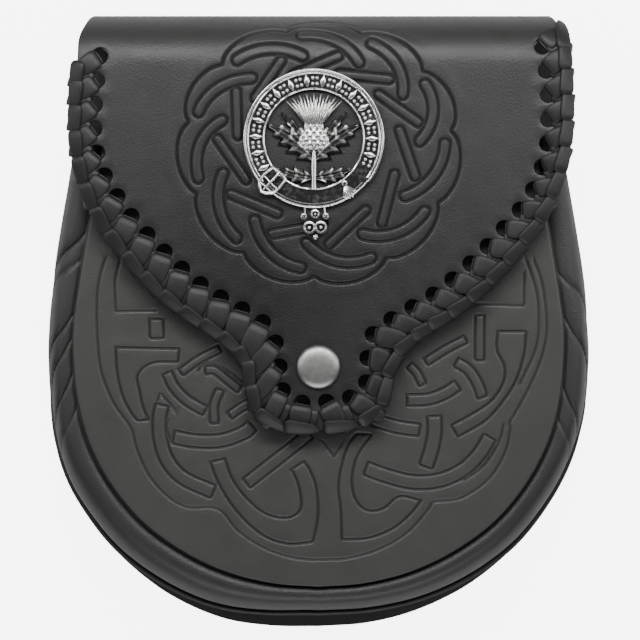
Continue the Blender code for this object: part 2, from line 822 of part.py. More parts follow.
def leaf_outline(root, tip, half_width, teeth):
    """A toothed leaf from root to tip, as the thistle has."""
    run = Vector((tip[0] - root[0], tip[1] - root[1], 0))
    side = Vector((-run.y, run.x, 0)).normalized()
    start = Vector((root[0], root[1], 0))
    right = []
    left = []
    for tooth in range(teeth):
        share = (tooth + 0.55) / (teeth + 0.3)
        width = half_width * math.sin(math.pi * min(1.0, share + 0.08))
        right.append(start + run * share + side * width)
        right.append(start + run * (share + 0.05) + side * width * 0.5)
        left.append(start + run * share - side * width)
        left.append(start + run * (share + 0.05) - side * width * 0.5)
    foot = side * half_width * 0.35
    points = [start + foot, *right, start + run, *left[::-1], start - foot]
    return [(point.x, point.y) for point in points]


def make_badge(collection, material):
    """A cast strap-and-buckle ring round a thistle, with two riveted posts through the flap."""
    base = FLAP_TOP + GAP
    top = base + BADGE_WALL
    inner = BADGE_RADIUS - BADGE_BAND
    floor = base + BADGE_WALL * 0.5
    ring = turned("badge", [
        (inner, base), (inner, top), (inner + BADGE_RIM, top), (inner + BADGE_RIM, floor),
        (BADGE_RADIUS - BADGE_RIM, floor), (BADGE_RADIUS - BADGE_RIM, top), (BADGE_RADIUS, top),
        (BADGE_RADIUS, base), (inner, base)], 36, material, collection)
    parts = []
    head = inner * 0.30
    bulb = bpy.data.meshes.new("bulb")
    form = bmesh.new()
    bmesh.ops.create_uvsphere(form, u_segments=14, v_segments=8, radius=head)
    bmesh.ops.scale(form, vec=(0.95, 1.05, 0.5), verts=form.verts)
    bmesh.ops.bisect_plane(form, geom=[*form.verts, *form.edges, *form.faces], plane_co=(0, 0, 0),
                           plane_no=(0, 0, -1), clear_outer=True)
    edges = [edge for edge in form.edges if edge.is_boundary]
    bmesh.ops.contextual_create(form, geom=edges)
    bmesh.ops.translate(form, vec=(0, inner * 0.08, floor - BADGE_WALL * 0.2), verts=form.verts)
    bmesh.ops.recalc_face_normals(form, faces=form.faces)
    form.to_mesh(bulb)
    form.free()
    parts.append(add_object("bulb", bulb, None, collection))
    crown = [(-head * 0.55, head * 0.9)]
    for step in range(5):
        share = step / 4
        crown.append((head * (2.6 * share - 1.3), inner * (0.78 + 0.14 * math.sin(math.pi * share))))
        if step < 4:
            crown.append((head * (1.9 * (share + 0.125) - 0.95), inner * 0.60))
    crown.append((head * 0.55, head * 0.9))
    parts.append(extruded("crown", [crown], base, top - BADGE_WALL * 0.1, collection))
    stem = [(-head * 0.28, -inner - BADGE_RIM / 2), (head * 0.28, -inner - BADGE_RIM / 2),
            (head * 0.28, 0.0), (-head * 0.28, 0.0)]
    parts.append(extruded("stem", [stem], base, top - BADGE_WALL * 0.25, collection))
    for sign in (-1, 1):
        upper = leaf_outline((0.0, -inner * 0.42), (sign * inner * 1.03, inner * 0.26), inner * 0.17, 4)
        lower = leaf_outline((0.0, -inner * 0.80), (sign * inner * 0.84, -inner * 0.62), inner * 0.15, 3)
        parts.append(extruded("upper_leaf", [upper], base, floor + BADGE_WALL * 0.25, collection))
        parts.append(extruded("lower_leaf", [lower], base, floor + BADGE_WALL * 0.15, collection))
    ball = inner * 0.13
    parts.append(extruded("finial", [ring_points((0.0, inner * 0.95), ball, 10)], base, top, collection))
    tip = [(-BADGE_TIP_HALF_WIDTH * 0.55, -BADGE_RADIUS + BADGE_RIM / 2)]
    drop = BADGE_TIP_LENGTH
    half = BADGE_TIP_HALF_WIDTH
    tip += [(-half * 0.75, -BADGE_RADIUS - drop * 0.22), (-half * 0.55, -BADGE_RADIUS - drop * 0.38),
            (-half, -BADGE_RADIUS - drop * 0.62), (-half * 0.62, -BADGE_RADIUS - drop * 0.86),
            (0.0, -BADGE_RADIUS - drop)]
    tip += [(-x, y) for x, y in tip[-2::-1]]
    parts.append(extruded("tip", [tip], base, top - BADGE_WALL * 0.2, collection))
    buckle = [(-0.50, -0.36), (0.50, -0.36), (0.50, 0.36), (-0.50, 0.36)]
    window = [(-0.26, -0.16), (0.26, -0.16), (0.26, 0.16), (-0.26, 0.16)]
    size = BADGE_BAND * 1.25
    frame = extruded("buckle", [[(x * size, y * size) for x, y in buckle]], base, top + BADGE_WALL * 0.25, collection)
    recess = extruded("recess", [[(x * size, y * size) for x, y in window]], floor, top + BADGE_WALL, collection)
    frame = join_solids(frame, [recess], "DIFFERENCE")
    turn = math.radians(-135)
    middle = BADGE_RADIUS - BADGE_BAND / 2
    frame.data.transform(Matrix.Translation((middle * math.cos(turn), middle * math.sin(turn), 0))
                         @ Matrix.Rotation(turn, 4, "Z"))
    parts.append(frame)
    rivet_bottom = FLAP_UNDER - GAP - BADGE_WALL * 0.45
    rivet_middle = FLAP_UNDER - GAP - BADGE_WALL * 0.22
    post_radius = BADGE_POST_RADIUS
    for x, y in badge_post_places():
        place = (x - BADGE_X, y - BADGE_Y)
        shank = ring_points(place, post_radius, 8)
        rivet = ring_points(place, BADGE_POST_HEAD, 8, math.pi / 8)
        parts.append(extruded("shank", [shank], rivet_middle, base + BADGE_WALL * 0.3, collection))
        parts.append(extruded("rivet", [rivet], rivet_bottom, FLAP_UNDER - GAP, collection))
    badge = join_solids(ring, parts)
    badge.location = (BADGE_X, BADGE_Y, 0.0)
    return badge


def make_keeper(name, x, collection, material):
    """A plain leather loop on the back, for the belt or chain strap."""
    seat = BACK_LIFT - GAP
    start = KEEPER_MIDDLE - KEEPER_LENGTH / 2
    end = KEEPER_MIDDLE + KEEPER_LENGTH / 2
    wall = KEEPER_WALL
    upper = [(start, seat), (start + KEEPER_TAB, seat), (start + KEEPER_TAB + KEEPER_LEG, wall),
             (end - KEEPER_TAB - KEEPER_LEG, wall), (end - KEEPER_TAB, seat), (end, seat)]
    lower = [(end, seat - wall), (end - KEEPER_TAB - wall * 0.4, seat - wall),
             (end - KEEPER_TAB - KEEPER_LEG - wall * 0.4, 0.0), (start + KEEPER_TAB + KEEPER_LEG + wall * 0.4, 0.0),
             (start + KEEPER_TAB + wall * 0.4, seat - wall), (start, seat - wall)]
    strap = flat_sheet("strap", [upper + lower], 2 * KEEPER_HALF_WIDTH, collection)
    mesh = mesh_of(strap)
    remove_object(strap)
    turn = Matrix(((0, 0, 1, 0), (1, 0, 0, 0), (0, 1, 0, 0), (0, 0, 0, 1)))
    mesh.transform(turn)
    body = add_object(name, mesh, material, collection)
    body.location.x = x
    return body


def build():
    for body in list(bpy.data.objects):
        bpy.data.objects.remove(body)
    collection = bpy.data.collections.new("sporran_pouch")
    bpy.context.scene.collection.children.link(collection)
    shell = leather("shell_leather", (0.030, 0.030, 0.029), 0.45)
    panel = leather("panel_leather", (0.036, 0.036, 0.034), 0.42)
    soft = leather("gusset_leather", (0.024, 0.024, 0.023), 0.50)
    lace = leather("lace_leather", (0.020, 0.020, 0.020), 0.38)
    snap = metal("snap_metal", (0.42, 0.42, 0.41), 0.38)
    pewter = metal("badge_metal", (0.55, 0.55, 0.55), 0.28)
    make_back_and_flap(collection, shell)
    make_front_panel(collection, panel)
    make_gusset(collection, soft)
    make_piping(collection, lace)
    make_edge_lacing(collection, lace)
    make_snap_cap(collection, snap)
    make_snap_post(collection, snap)
    make_badge(collection, pewter)
    make_keeper("belt_keeper_left", -KEEPER_X, collection, shell)
    make_keeper("belt_keeper_right", KEEPER_X, collection, shell)


build()
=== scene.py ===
# %% [markdown]
# A day sporran is a small leather pouch worn at the front of a kilt. This one is black: a back that
# folds over the top into a laced flap, a stiff tooled front, soft sides, a cast badge and a snap. The
# lesson dresses the fixed solids of the part with the surfaces that the real one shows. Everything is
# in metres.

# %% Load the fixed solids
import math

import bmesh
import bpy
import numpy as np
from mathutils import Matrix, Vector, geometry, kdtree


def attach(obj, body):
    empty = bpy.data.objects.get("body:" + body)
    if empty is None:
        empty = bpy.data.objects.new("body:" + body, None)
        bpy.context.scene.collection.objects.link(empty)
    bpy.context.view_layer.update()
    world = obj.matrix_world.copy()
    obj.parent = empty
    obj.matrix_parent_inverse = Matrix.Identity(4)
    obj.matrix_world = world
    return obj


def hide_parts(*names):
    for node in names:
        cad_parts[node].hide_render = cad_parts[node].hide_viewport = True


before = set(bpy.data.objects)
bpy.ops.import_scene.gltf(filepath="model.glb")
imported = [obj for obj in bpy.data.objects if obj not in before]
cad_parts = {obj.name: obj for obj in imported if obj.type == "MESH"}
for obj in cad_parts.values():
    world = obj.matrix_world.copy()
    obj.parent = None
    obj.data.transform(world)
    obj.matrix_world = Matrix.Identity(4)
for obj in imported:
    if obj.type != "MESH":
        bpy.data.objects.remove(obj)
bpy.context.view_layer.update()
MM = 0.001
print("solids:", ", ".join(sorted(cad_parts)))

# %% [markdown]
# The camera looks straight down at the pouch, which lies on its back, from far enough away that its
# sides don't show. Four long soft boxes stand round it, as on a copy stand: the one beyond the fold is
# the strongest, so each pressed line gets a dark upper wall and a bright lower lip, and the middle,
# furthest from all four, is darkest.

# %% Camera
CAMERA_HEIGHT = 3.00
VIEW_WIDTH = 0.2098
VIEW_MIDDLE = (0.0005, 0.0007)
VIEW_PLANE = 0.020
SENSOR = 36.0

camera_data = bpy.data.cameras.new("camera")
camera_data.sensor_width = SENSOR
camera_data.lens = SENSOR * (CAMERA_HEIGHT - VIEW_PLANE) / VIEW_WIDTH
camera = bpy.data.objects.new("camera", camera_data)
camera.location = (*VIEW_MIDDLE, CAMERA_HEIGHT)
bpy.context.scene.collection.objects.link(camera)
bpy.context.scene.camera = camera
print("lens", round(camera_data.lens, 1), "mm")

# %% Floor and lights
FLOOR_SIZE = 3.0
PAPER_GLOW = 6.0    # seen by the camera only, so that the paper shows white and lights nothing


def add_light(name, place, target, size, power):
    """A rectangular soft light that faces its target."""
    data = bpy.data.lights.new(name, "AREA")
    data.shape = "RECTANGLE"
    data.size = size[0]
    data.size_y = size[1]
    data.energy = power
    light = bpy.data.objects.new(name, data)
    light.location = place
    direction = Vector(target) - Vector(place)
    light.rotation_euler = direction.to_track_quat("-Z", "Y").to_euler()
    bpy.context.scene.collection.objects.link(light)
    return light


def make_floor():
    mesh = bpy.data.meshes.new("floor")
    form = bmesh.new()
    bmesh.ops.create_grid(form, x_segments=1, y_segments=1, size=FLOOR_SIZE / 2)
    form.to_mesh(mesh)
    form.free()
    floor = bpy.data.objects.new("floor", mesh)
    bpy.context.scene.collection.objects.link(floor)
    paper = bpy.data.materials.new("white_paper")
    paper.use_nodes = True
    shader = paper.node_tree.nodes["Principled BSDF"]
    shader.inputs["Base Color"].default_value = (0.90, 0.90, 0.90, 1.0)
    shader.inputs["Roughness"].default_value = 0.9
    seen = paper.node_tree.nodes.new("ShaderNodeLightPath")
    paper.node_tree.links.new(seen.outputs["Is Camera Ray"], shader.inputs["Emission Color"])
    shader.inputs["Emission Strength"].default_value = PAPER_GLOW
    mesh.materials.append(paper)
    return floor


floor = make_floor()
boxes = [
    # name, place, target, width and length, power
    add_light("far_box", (0.0, 0.25, 0.35), (0.0, 0.02, 0.02), (0.60, 0.12), 2.20),
    add_light("near_box", (0.0, -0.40, 0.26), (0.0, -0.07, 0.02), (0.50, 0.14), 0.95),
    add_light("left_box", (-0.40, 0.10, 0.22), (-0.03, 0.0, 0.02), (0.12, 0.50), 0.45),
    add_light("right_box", (0.38, 0.10, 0.22), (0.03, 0.0, 0.02), (0.12, 0.50), 0.55),
]
world = bpy.data.worlds.new("studio")
world.use_nodes = True
world.node_tree.nodes["Background"].inputs["Color"].default_value = (0.95, 0.97, 1.0, 1.0)
world.node_tree.nodes["Background"].inputs["Strength"].default_value = 0.12
bpy.context.scene.world = world
print("lights:", ", ".join(box.name for box in boxes))

# %% [markdown]
# Shader maths reads best as Python. A small class wraps a node socket, and each operator on it adds the
# node that does that sum. One method makes any other node from its type, its settings and its sockets.

# %% Sockets as numbers
class Sock:
    """A socket of a shader tree that can be used in sums."""

    def __init__(self, tree, socket):
        self.tree = tree
        self.socket = socket

    def node(self, kind, settings=(), inputs=(), output=0):
        """A new node of this kind, with its settings made first, then its sockets set or linked."""
        made = self.tree.nodes.new(kind)
        for name, value in dict(settings).items():
            if name == "stops":
                set_stops(made.color_ramp, value)
            else:
                setattr(made, name, value)
        for name, value in dict(inputs).items():
            if isinstance(value, Sock):
                self.tree.links.new(value.socket, made.inputs[name])
            else:
                made.inputs[name].default_value = value
        return Sock(self.tree, made.outputs[output])

    def math(self, operation, *values):
        return self.node("ShaderNodeMath", {"operation": operation}, dict(enumerate((self, *values))))

    def __add__(self, other):
        return self.math("ADD", other)

    __radd__ = __add__

    def __mul__(self, other):
        return self.math("MULTIPLY", other)

    __rmul__ = __mul__

    def __sub__(self, other):
        return self.math("SUBTRACT", other)

    def __rsub__(self, other):
        return self.node("ShaderNodeMath", {"operation": "SUBTRACT"}, {0: other, 1: self})

    def clamp(self):
        return self.node("ShaderNodeClamp", {}, {"Value": self})

    def ramp(self, *stops):
        """The value read through a ramp of (place, grey) stops."""
        return self.node("ShaderNodeValToRGB", {"stops": stops}, {0: self})

    def mix(self, first, second):
        """Two colours mixed by this value."""
        return self.node("ShaderNodeMix", {"data_type": "RGBA"}, {0: self, 6: first, 7: second}, 2)


def set_stops(ramp, stops):
    while len(ramp.elements) < len(stops):
        ramp.elements.new(1.0)
    for element, (place, grey) in zip(ramp.elements, stops):
        element.position = place
        element.color = (grey, grey, grey, 1.0)


def start_material(name, metallic=0.0):
    """An empty material, its shader, and a socket to build from."""
    material = bpy.data.materials.new(name)
    material.use_nodes = True
    tree = material.node_tree
    shader = tree.nodes["Principled BSDF"]
    shader.inputs["Metallic"].default_value = metallic
    start = Sock(tree, tree.nodes.new("ShaderNodeTexCoord").outputs["Object"])
    return material, shader, start


def plug(shader, name, value):
    """Send a value or a socket to one of the shader's own sockets."""
    if isinstance(value, Sock):
        value.tree.links.new(value.socket, shader.inputs[name])
    else:
        shader.inputs[name].default_value = value


print("maths on sockets is ready")

# %% [markdown]
# Leather of this kind is dyed through and finished satin. Close up it shows a fine pebbled grain and slow
# drifts of tone where the dye took more or less. Painted shade darkens each pressed line and crease, and a
# broad painted shade darkens the sheet round the middle of the flap. The pressed lines are real geometry,
# and the mesh carries their depth in an attribute called press, which the material reads for the painted
# shade.

# %% Leather finishes
# A broad painted shade over the middle of the flap: darkest at this spot, gone at this reach.
SHADE_SPOT = (-0.020, 0.000, 0.034)
SHADE_REACH = 0.095
# painted shade in the pressed lines and creases: their darkest tone, as a share of the leather's
GROOVE_SHADE_TONE = 0.18


def leather(name, color, roughness, grain=1.0, drift=0.25, painted_shade=0.0):
    """A satin black leather. color is its mean tone, and the last argument how much painted shade darkens it
    round the spot set above.
    """
    material, shader, place = start_material(name)
    coarse = place.node("ShaderNodeTexNoise", {}, {"Vector": place, "Scale": 26.0, "Detail": 3.0})
    cloudy = place.node("ShaderNodeTexNoise", {}, {"Vector": place, "Scale": 140.0, "Detail": 4.0})
    pores = place.node("ShaderNodeTexVoronoi", {"feature": "F1"}, {"Vector": place, "Scale": 1500.0})
    fine = place.node("ShaderNodeTexNoise", {}, {"Vector": place, "Scale": 2200.0, "Detail": 2.0})
    press = place.node("ShaderNodeAttribute", {"attribute_name": "press"}, {}, 2)
    tone = (coarse * 0.6 + cloudy * 0.4 - 0.5) * (2.0 * drift) + 1.0
    # painted shade: darker the nearer the point is to the spot
    if painted_shade:
        far = place.node("ShaderNodeVectorMath", {"operation": "DISTANCE"}, {0: place, 1: SHADE_SPOT}, 1)
        tone = tone * (1.0 - (1.0 - far * (1.0 / SHADE_REACH)).clamp() * painted_shade)
    # painted shade: each pressed line and crease is darker as its press rises
    shade = (tone * (1.0 - press.clamp() * (1.0 - GROOVE_SHADE_TONE))).clamp()
    dark = tuple(channel * 0.25 for channel in color)
    light = tuple(channel * 1.30 for channel in color)
    mixed = shade.ramp((0.0, 0.0), (1.0, 0.8)).mix((*dark, 1.0), (*light, 1.0))
    plug(shader, "Base Color", mixed)
    uneven = (cloudy - 0.5) * 0.16 + (coarse - 0.5) * 0.10
    plug(shader, "Roughness", uneven + press.clamp() * 0.30 + roughness)
    height = pores * 0.6 + fine * 0.5 + cloudy * 0.25
    bump = place.node("ShaderNodeBump", {}, {"Height": height, "Strength": 0.22 * grain, "Distance": 0.00035})
    plug(shader, "Normal", bump)
    return material


# the flap's sheet carries the broad painted shade
shell_finish = leather("shell_leather", (0.0255, 0.0255, 0.0245), 0.44, painted_shade=0.92)
panel_finish = leather("panel_leather", (0.045, 0.045, 0.043), 0.42)
gusset_finish = leather("gusset_leather", (0.024, 0.024, 0.023), 0.46, grain=1.3)


def lace_leather(name, color, roughness):
    """Flat lace with fine lines along its length and painted shade darkening its two edges."""
    material, shader, place = start_material(name)
    across = place.node("ShaderNodeAttribute", {"attribute_name": "across"}, {}, 2)
    length = place.node("ShaderNodeAttribute", {"attribute_name": "length"}, {}, 2)
    drift = place.node("ShaderNodeTexNoise", {}, {"Vector": place, "Scale": 90.0, "Detail": 3.0})
    lined = place.node("ShaderNodeCombineXYZ", {}, {0: across * 5.0, 1: length * 160.0, 2: drift * 3.0})
    lines = place.node("ShaderNodeTexNoise", {}, {"Vector": lined, "Scale": 2.4, "Detail": 3.0})
    # painted shade along both edges, where one piece of lace meets the next
    edge = across.math("ABSOLUTE").math("POWER", 5.0)
    tone = ((drift - 0.5) * 0.7 + (lines - 0.5) * 0.5 + 0.78 - edge * 0.62).clamp()
    dark = tuple(channel * 0.18 for channel in color)
    plug(shader, "Base Color", tone.mix((*dark, 1.0), (*color, 1.0)))
    plug(shader, "Roughness", (drift - 0.5) * 0.2 + edge * 0.2 + roughness)
    height = lines * 0.7 + drift * 0.5
    bump = place.node("ShaderNodeBump", {}, {"Height": height, "Strength": 0.25, "Distance": 0.0004})
    plug(shader, "Normal", bump)
    return material


lace_finish = lace_leather("lace_leather", (0.016, 0.016, 0.0155), 0.47)
print("leathers: shell, panel, gusset, lace")

# %% [markdown]
# The pouch's own sizes. The flap, the fold and the back are one sheet, so each point of the flat
# pattern has one place on the folded sheet, and the holes, the lacing and the tooling are all laid out
# flat and then folded.

# %% Sizes of the sheet
BODY_HALF_WIDTH = 88.5 * MM
BODY_LENGTH = 200.6 * MM
LEFT_FULLNESS = 2.6 * MM
POUCH_DEPTH = 33.0 * MM
BACK_WALL = 2.2 * MM
FRONT_WALL = 2.0 * MM
GUSSET_WALL = 1.5 * MM
GAP = 0.3 * MM
FLAP_HALF_WIDTH = 81.0 * MM
FLAP_LEAN = 1.0 * MM
FLAP_LIFT = 3.2 * MM
TAB_HALF_WIDTH = 22.2 * MM
TAB_BOTTOM = -35.0 * MM
TAB_SHOULDER = -10.0 * MM
BACK_LIFT = 6.8 * MM
RISE_START = -12.0 * MM
RISE_END = 36.0 * MM
SNAP_HEIGHT = -14.6 * MM
SNAP_CAP_RADIUS = 7.15 * MM
SNAP_HOLE_RADIUS = 2.2 * MM
BADGE_RADIUS = 23.0 * MM
BADGE_BAND = 7.0 * MM
BADGE_POST_HOLE = 1.5 * MM

FLAP_UNDER = POUCH_DEPTH + FLAP_LIFT
FLAP_MIDDLE = FLAP_UNDER + BACK_WALL / 2
FLAP_TOP = FLAP_UNDER + BACK_WALL
FOLD_OUTER = (FLAP_TOP - BACK_LIFT) / 2
FOLD_RADIUS = FOLD_OUTER - BACK_WALL / 2
FOLD_Y = BODY_LENGTH / 2 - FOLD_OUTER
FOLD_Z = BACK_LIFT + FOLD_OUTER
FOLD_ARC = math.pi * FOLD_RADIUS
BADGE_X = -1.5 * MM
BADGE_Y = FOLD_Y - 24.8 * MM
BADGE_BASE = FLAP_TOP + GAP
BADGE_POST_REACH = BADGE_RADIUS - BADGE_BAND / 2


def ease(value):
    share = min(1.0, max(0.0, value))
    return share * share * (3 - 2 * share)


def back_rise(y):
    """How far the back is lifted off the floor at this height, to pass over the keepers."""
    return BACK_LIFT * ease((y - RISE_START) / (RISE_END - RISE_START))


def bend(x, along, above):
    """A point of the flat pattern on the folded sheet. above is measured from the middle of the leather."""
    if along <= FOLD_Y:
        return Vector((x, along, FLAP_MIDDLE + above))
    turn = (along - FOLD_Y) / FOLD_RADIUS
    if turn <= math.pi:
        radius = FOLD_RADIUS + above
        return Vector((x, FOLD_Y + radius * math.sin(turn), FOLD_Z + radius * math.cos(turn)))
    y = FOLD_Y - (along - FOLD_Y - FOLD_ARC)
    return Vector((x, y, back_rise(y) + BACK_WALL / 2 - above))


print("fold radius", round(FOLD_RADIUS / MM, 2), "mm, flap top at", round(FLAP_TOP / MM, 1), "mm")

# %% Edges of the sheet
FOLD_EDGE = [
    # across, turn
    (0.978, 0.17), (0.955, 0.30), (0.925, 0.46), (0.930, 0.75), (0.945, 0.95),
]
FLAP_EDGE = [
    # across, up
    (0.983, 1.000), (0.991, 0.890), (0.993, 0.760), (0.987, 0.665), (0.962, 0.560), (0.908, 0.428),
    (0.780, 0.258), (0.640, 0.112), (0.504, 0.014), (0.382, -0.056),
]
TAB_EDGE = [
    # across, down
    (1.060, 0.10), (1.000, 0.30), (1.000, 0.60), (0.930, 0.82), (0.740, 0.95), (0.420, 0.99), (0.000, 1.00),
]
FULLNESS_START = 0.20
FULLNESS_RUN = 0.35
FULLNESS_ACROSS = 0.45
BACK_EDGE = [
    # across, up
    (0.880, 0.700), (0.896, 0.600), (0.912, 0.450), (0.940, 0.270), (0.966, 0.090), (0.984, -0.090),
    (0.997, -0.210), (0.993, -0.290), (0.970, -0.380), (0.930, -0.470), (0.872, -0.570), (0.790, -0.675),
    (0.680, -0.780), (0.530, -0.878), (0.350, -0.951), (0.175, -0.989), (0.000, -1.000),
]


def smooth_path(points, steps):
    """A rounded line through the points, by Catmull-Rom segments of a few steps each."""
    first = 2 * points[0] - points[1]
    last = 2 * points[-1] - points[-2]
    run = [first, *points, last]
    line = []
    for before, start, end, after in zip(run, run[1:], run[2:], run[3:]):
        for step in range(steps):
            t = step / steps
            line.append(0.5 * (2 * start + (end - before) * t
                               + (2 * before - 5 * start + 4 * end - after) * t ** 2
                               + (3 * start - before - 3 * end + after) * t ** 3))
    line.append(points[-1])
    return line


def running_lengths(path):
    lengths = [0.0]
    for start, end in zip(path, path[1:]):
        lengths.append(lengths[-1] + (end - start).length)
    return lengths


def read_at(items, place):
    index = min(int(place), len(items) - 2)
    return items[index].lerp(items[index + 1], place - index)


def even(path, step):
    """The path again, with its points at even steps."""
    lengths = running_lengths(path)
    count = max(2, round(lengths[-1] / step) + 1)
    targets = [lengths[-1] * index / (count - 1) for index in range(count)]
    return [read_at(path, float(np.interp(target, lengths, range(len(lengths))))) for target in targets]


def run_at(path, index, closed=False):
    """Unit vector along a path at one of its points."""
    count = len(path)
    ahead = path[(index + 1) % count if closed else min(index + 1, count - 1)]
    behind = path[index - 1 if closed else max(index - 1, 0)]
    return (ahead - behind).normalized()


def around(steps, start=0.0):
    """Even turns all the way round."""
    return [2 * math.pi * (step + start) / steps for step in range(steps)]


def placed(table, wide, tall):
    """Points from a table of two shares, the first of one size and the second of another."""
    return [Vector((wide * across, tall * up, 0)) for across, up in table]


def fuller(point, sign):
    """A point of the lower body's right half, moved outwards where it stands for the fuller left side."""
    if sign > 0:
        return point
    low = ease((-point.y / (BODY_LENGTH / 2) - FULLNESS_START) / FULLNESS_RUN)
    wide = ease(point.x / (BODY_HALF_WIDTH * FULLNESS_ACROSS))
    return point + point.normalized() * LEFT_FULLNESS * low * wide


def flap_half_edge(sign):
    """Cut edge of one half of the flap on the flat pattern, as a right half, from fold to tab."""
    tab_length = TAB_SHOULDER - TAB_BOTTOM
    lean = sign * FLAP_LEAN
    points = [Vector((FLAP_HALF_WIDTH * across + lean, FOLD_Y + FOLD_ARC * turn, 0))
              for across, turn in FOLD_EDGE[2::-1]]
    points += [Vector((FLAP_HALF_WIDTH * across + lean * max(0.0, up), FOLD_Y * up, 0))
               for across, up in FLAP_EDGE]
    points += [Vector((TAB_HALF_WIDTH * across, TAB_SHOULDER - tab_length * down, 0))
               for across, down in TAB_EDGE]
    return smooth_path(points, 8)


def back_half_edge(sign):
    """Cut edge of one half of the back on the flat pattern, as a right half, from fold to bottom."""
    points = [Vector((FLAP_HALF_WIDTH * across + sign * FLAP_LEAN, FOLD_Y + FOLD_ARC * turn, 0))
              for across, turn in FOLD_EDGE[2:]]
    for point in placed(BACK_EDGE, BODY_HALF_WIDTH, BODY_LENGTH / 2):
        spot = fuller(point, sign)
        points.append(Vector((spot.x, FOLD_Y + FOLD_ARC + FOLD_Y - spot.y, 0)))
    return smooth_path(points, 6)


def mirrored(half):
    """A closed outline from a right half whose ends lie on the middle line."""
    return closed(half, half)


def closed(right, left):
    """A closed outline from its two halves, both drawn as right halves whose ends lie on the middle line."""
    return right + [Vector((-point.x, point.y, 0)) for point in left[-2:0:-1]]


def sheet_outline():
    halves = [[*flap_half_edge(sign)[::-1], *back_half_edge(sign)[1:]] for sign in (1, -1)]
    return closed(*halves)


print("sheet outline:", len(sheet_outline()), "points")

# %% [markdown]
# Tooling is pressed into damp leather with a blunt stamp: the line sinks, and its two lips rise a
# little. A bump map can't show that from the side, so the mesh itself follows the lines: rows of points
# run along every groove, a loose grid fills the rest, and a Delaunay triangulation joins them. Few
# faces are spent where nothing happens.

# %% Tools for pressed leather
GROOVE_HALF = 0.42 * MM
GROOVE_DEPTH = 0.62 * MM
GROOVE_STEP = 0.60 * MM
GROOVE_ROWS = (0.0, 0.5, 1.0, 1.6, 2.5)
GROOVE_SAMPLE = 0.15 * MM
LIP_SHARE = 0.30
LIP_PLACE = 2.1
LIP_WIDTH = 0.9


def side_of(path, index, closed):
    """Unit vector to the left of a path at one of its points."""
    run = run_at(path, index, closed)
    return Vector((-run.y, run.x, 0))


def shifted(path, distance, closed=False):
    """The path moved sideways, to its left for a positive distance."""
    return [point + side_of(path, index, closed) * distance for index, point in enumerate(path)]


def ribbon(center, width, rounded=False):
    """Closed outline of a strand along its middle line, with square or round ends."""
    left = shifted(center, width / 2)
    right = shifted(center, -width / 2)[::-1]
    if not rounded:
        return left + right
    caps = []
    for end, start in ((center[-1], left[-1]), (center[0], right[-1])):
        caps.append([Matrix.Rotation(-math.pi * step / 6, 3, "Z") @ (start - end) + end
                     for step in range(1, 6)])
    return left + caps[0] + right + caps[1]


def groove(path, closed=True, depth=1.0, half=1.0):
    """A pressed line: its path, and its depth and half width as shares of the usual ones."""
    run = even(path + [path[0]] if closed else path, GROOVE_STEP)
    return {"path": run[:-1] if closed else run, "closed": closed, "depth": depth * GROOVE_DEPTH,
            "half": half * GROOVE_HALF}


def groove_tree(grooves):
    """A search tree of points along all grooves, with each point's depth and half width."""
    samples = []
    for line in grooves:
        run = line["path"] + line["path"][:1] if line["closed"] else line["path"]
        samples += [(point, line["depth"], line["half"]) for point in even(run, GROOVE_SAMPLE)]
    tree = kdtree.KDTree(len(samples))
    for index, (point, _, _) in enumerate(samples):
        tree.insert((point.x, point.y, 0.0), index)
    tree.balance()
    return tree, samples


def pressed(point, tree, samples):
    """Height and press of the leather at a point: negative in a groove, slightly positive on its lips."""
    _, index, distance = tree.find((point[0], point[1], 0.0))
    _, depth, half = samples[index]
    inside = math.exp(-(distance / half) ** 2)
    lip = math.exp(-((distance / half - LIP_PLACE) / LIP_WIDTH) ** 2)
    return depth * (LIP_SHARE * lip - inside), inside * min(1.0, depth / GROOVE_DEPTH)


def inside_outline(points, outline):
    """Which of many points lie inside a closed outline, by counting crossings."""
    x = points[:, 0]
    y = points[:, 1]
    inside = np.zeros(len(points), dtype=bool)
    for start, end in zip(outline, outline[1:] + outline[:1]):
        if start[1] == end[1]:
            continue
        crosses = (start[1] > y) != (end[1] > y)
        inside ^= crosses & (x < (end[0] - start[0]) * (y - start[1]) / (end[1] - start[1]) + start[0])
    return inside


class Thinner:
    """Keeps points that are no closer to one another than a given distance."""

    def __init__(self, cell):
        self.cell = cell
        self.kept = []
        self.cells = {}

    def near(self, x, y, distance):
        reach = int(distance / self.cell) + 1
        column = int(x // self.cell)
        row = int(y // self.cell)
        for i in range(column - reach, column + reach + 1):
            for j in range(row - reach, row + reach + 1):
                for other in self.cells.get((i, j), ()):
                    if (other[0] - x) ** 2 + (other[1] - y) ** 2 < distance * distance:
                        return True
        return False

    def add(self, x, y, distance):
        if distance and self.near(x, y, distance):
            return
        self.kept.append((x, y))
        self.cells.setdefault((int(x // self.cell), int(y // self.cell)), []).append((x, y))


def grid_points(outline, step, dense_rows):
    """A grid of staggered points over an outline, closer together between the pairs of rows named."""
    xs, ys = zip(*outline)
    left, right, y, top = min(xs), max(xs), min(ys), max(ys)
    points = []
    odd = False
    while y < top:
        x = left + (step / 2 if odd else 0.0)
        while x < right:
            points.append((x, y))
            x += step
        dense = any(first <= y <= last for first, last in dense_rows)
        y += step * (0.4 if dense else 0.866)
        odd = not odd
    return points


def within(points, loops):
    """Which of the points lie inside the first loop and outside the others."""
    keep = inside_outline(points, loops[0])
    for loop in loops[1:]:
        keep &= ~inside_outline(points, loop)
    return keep


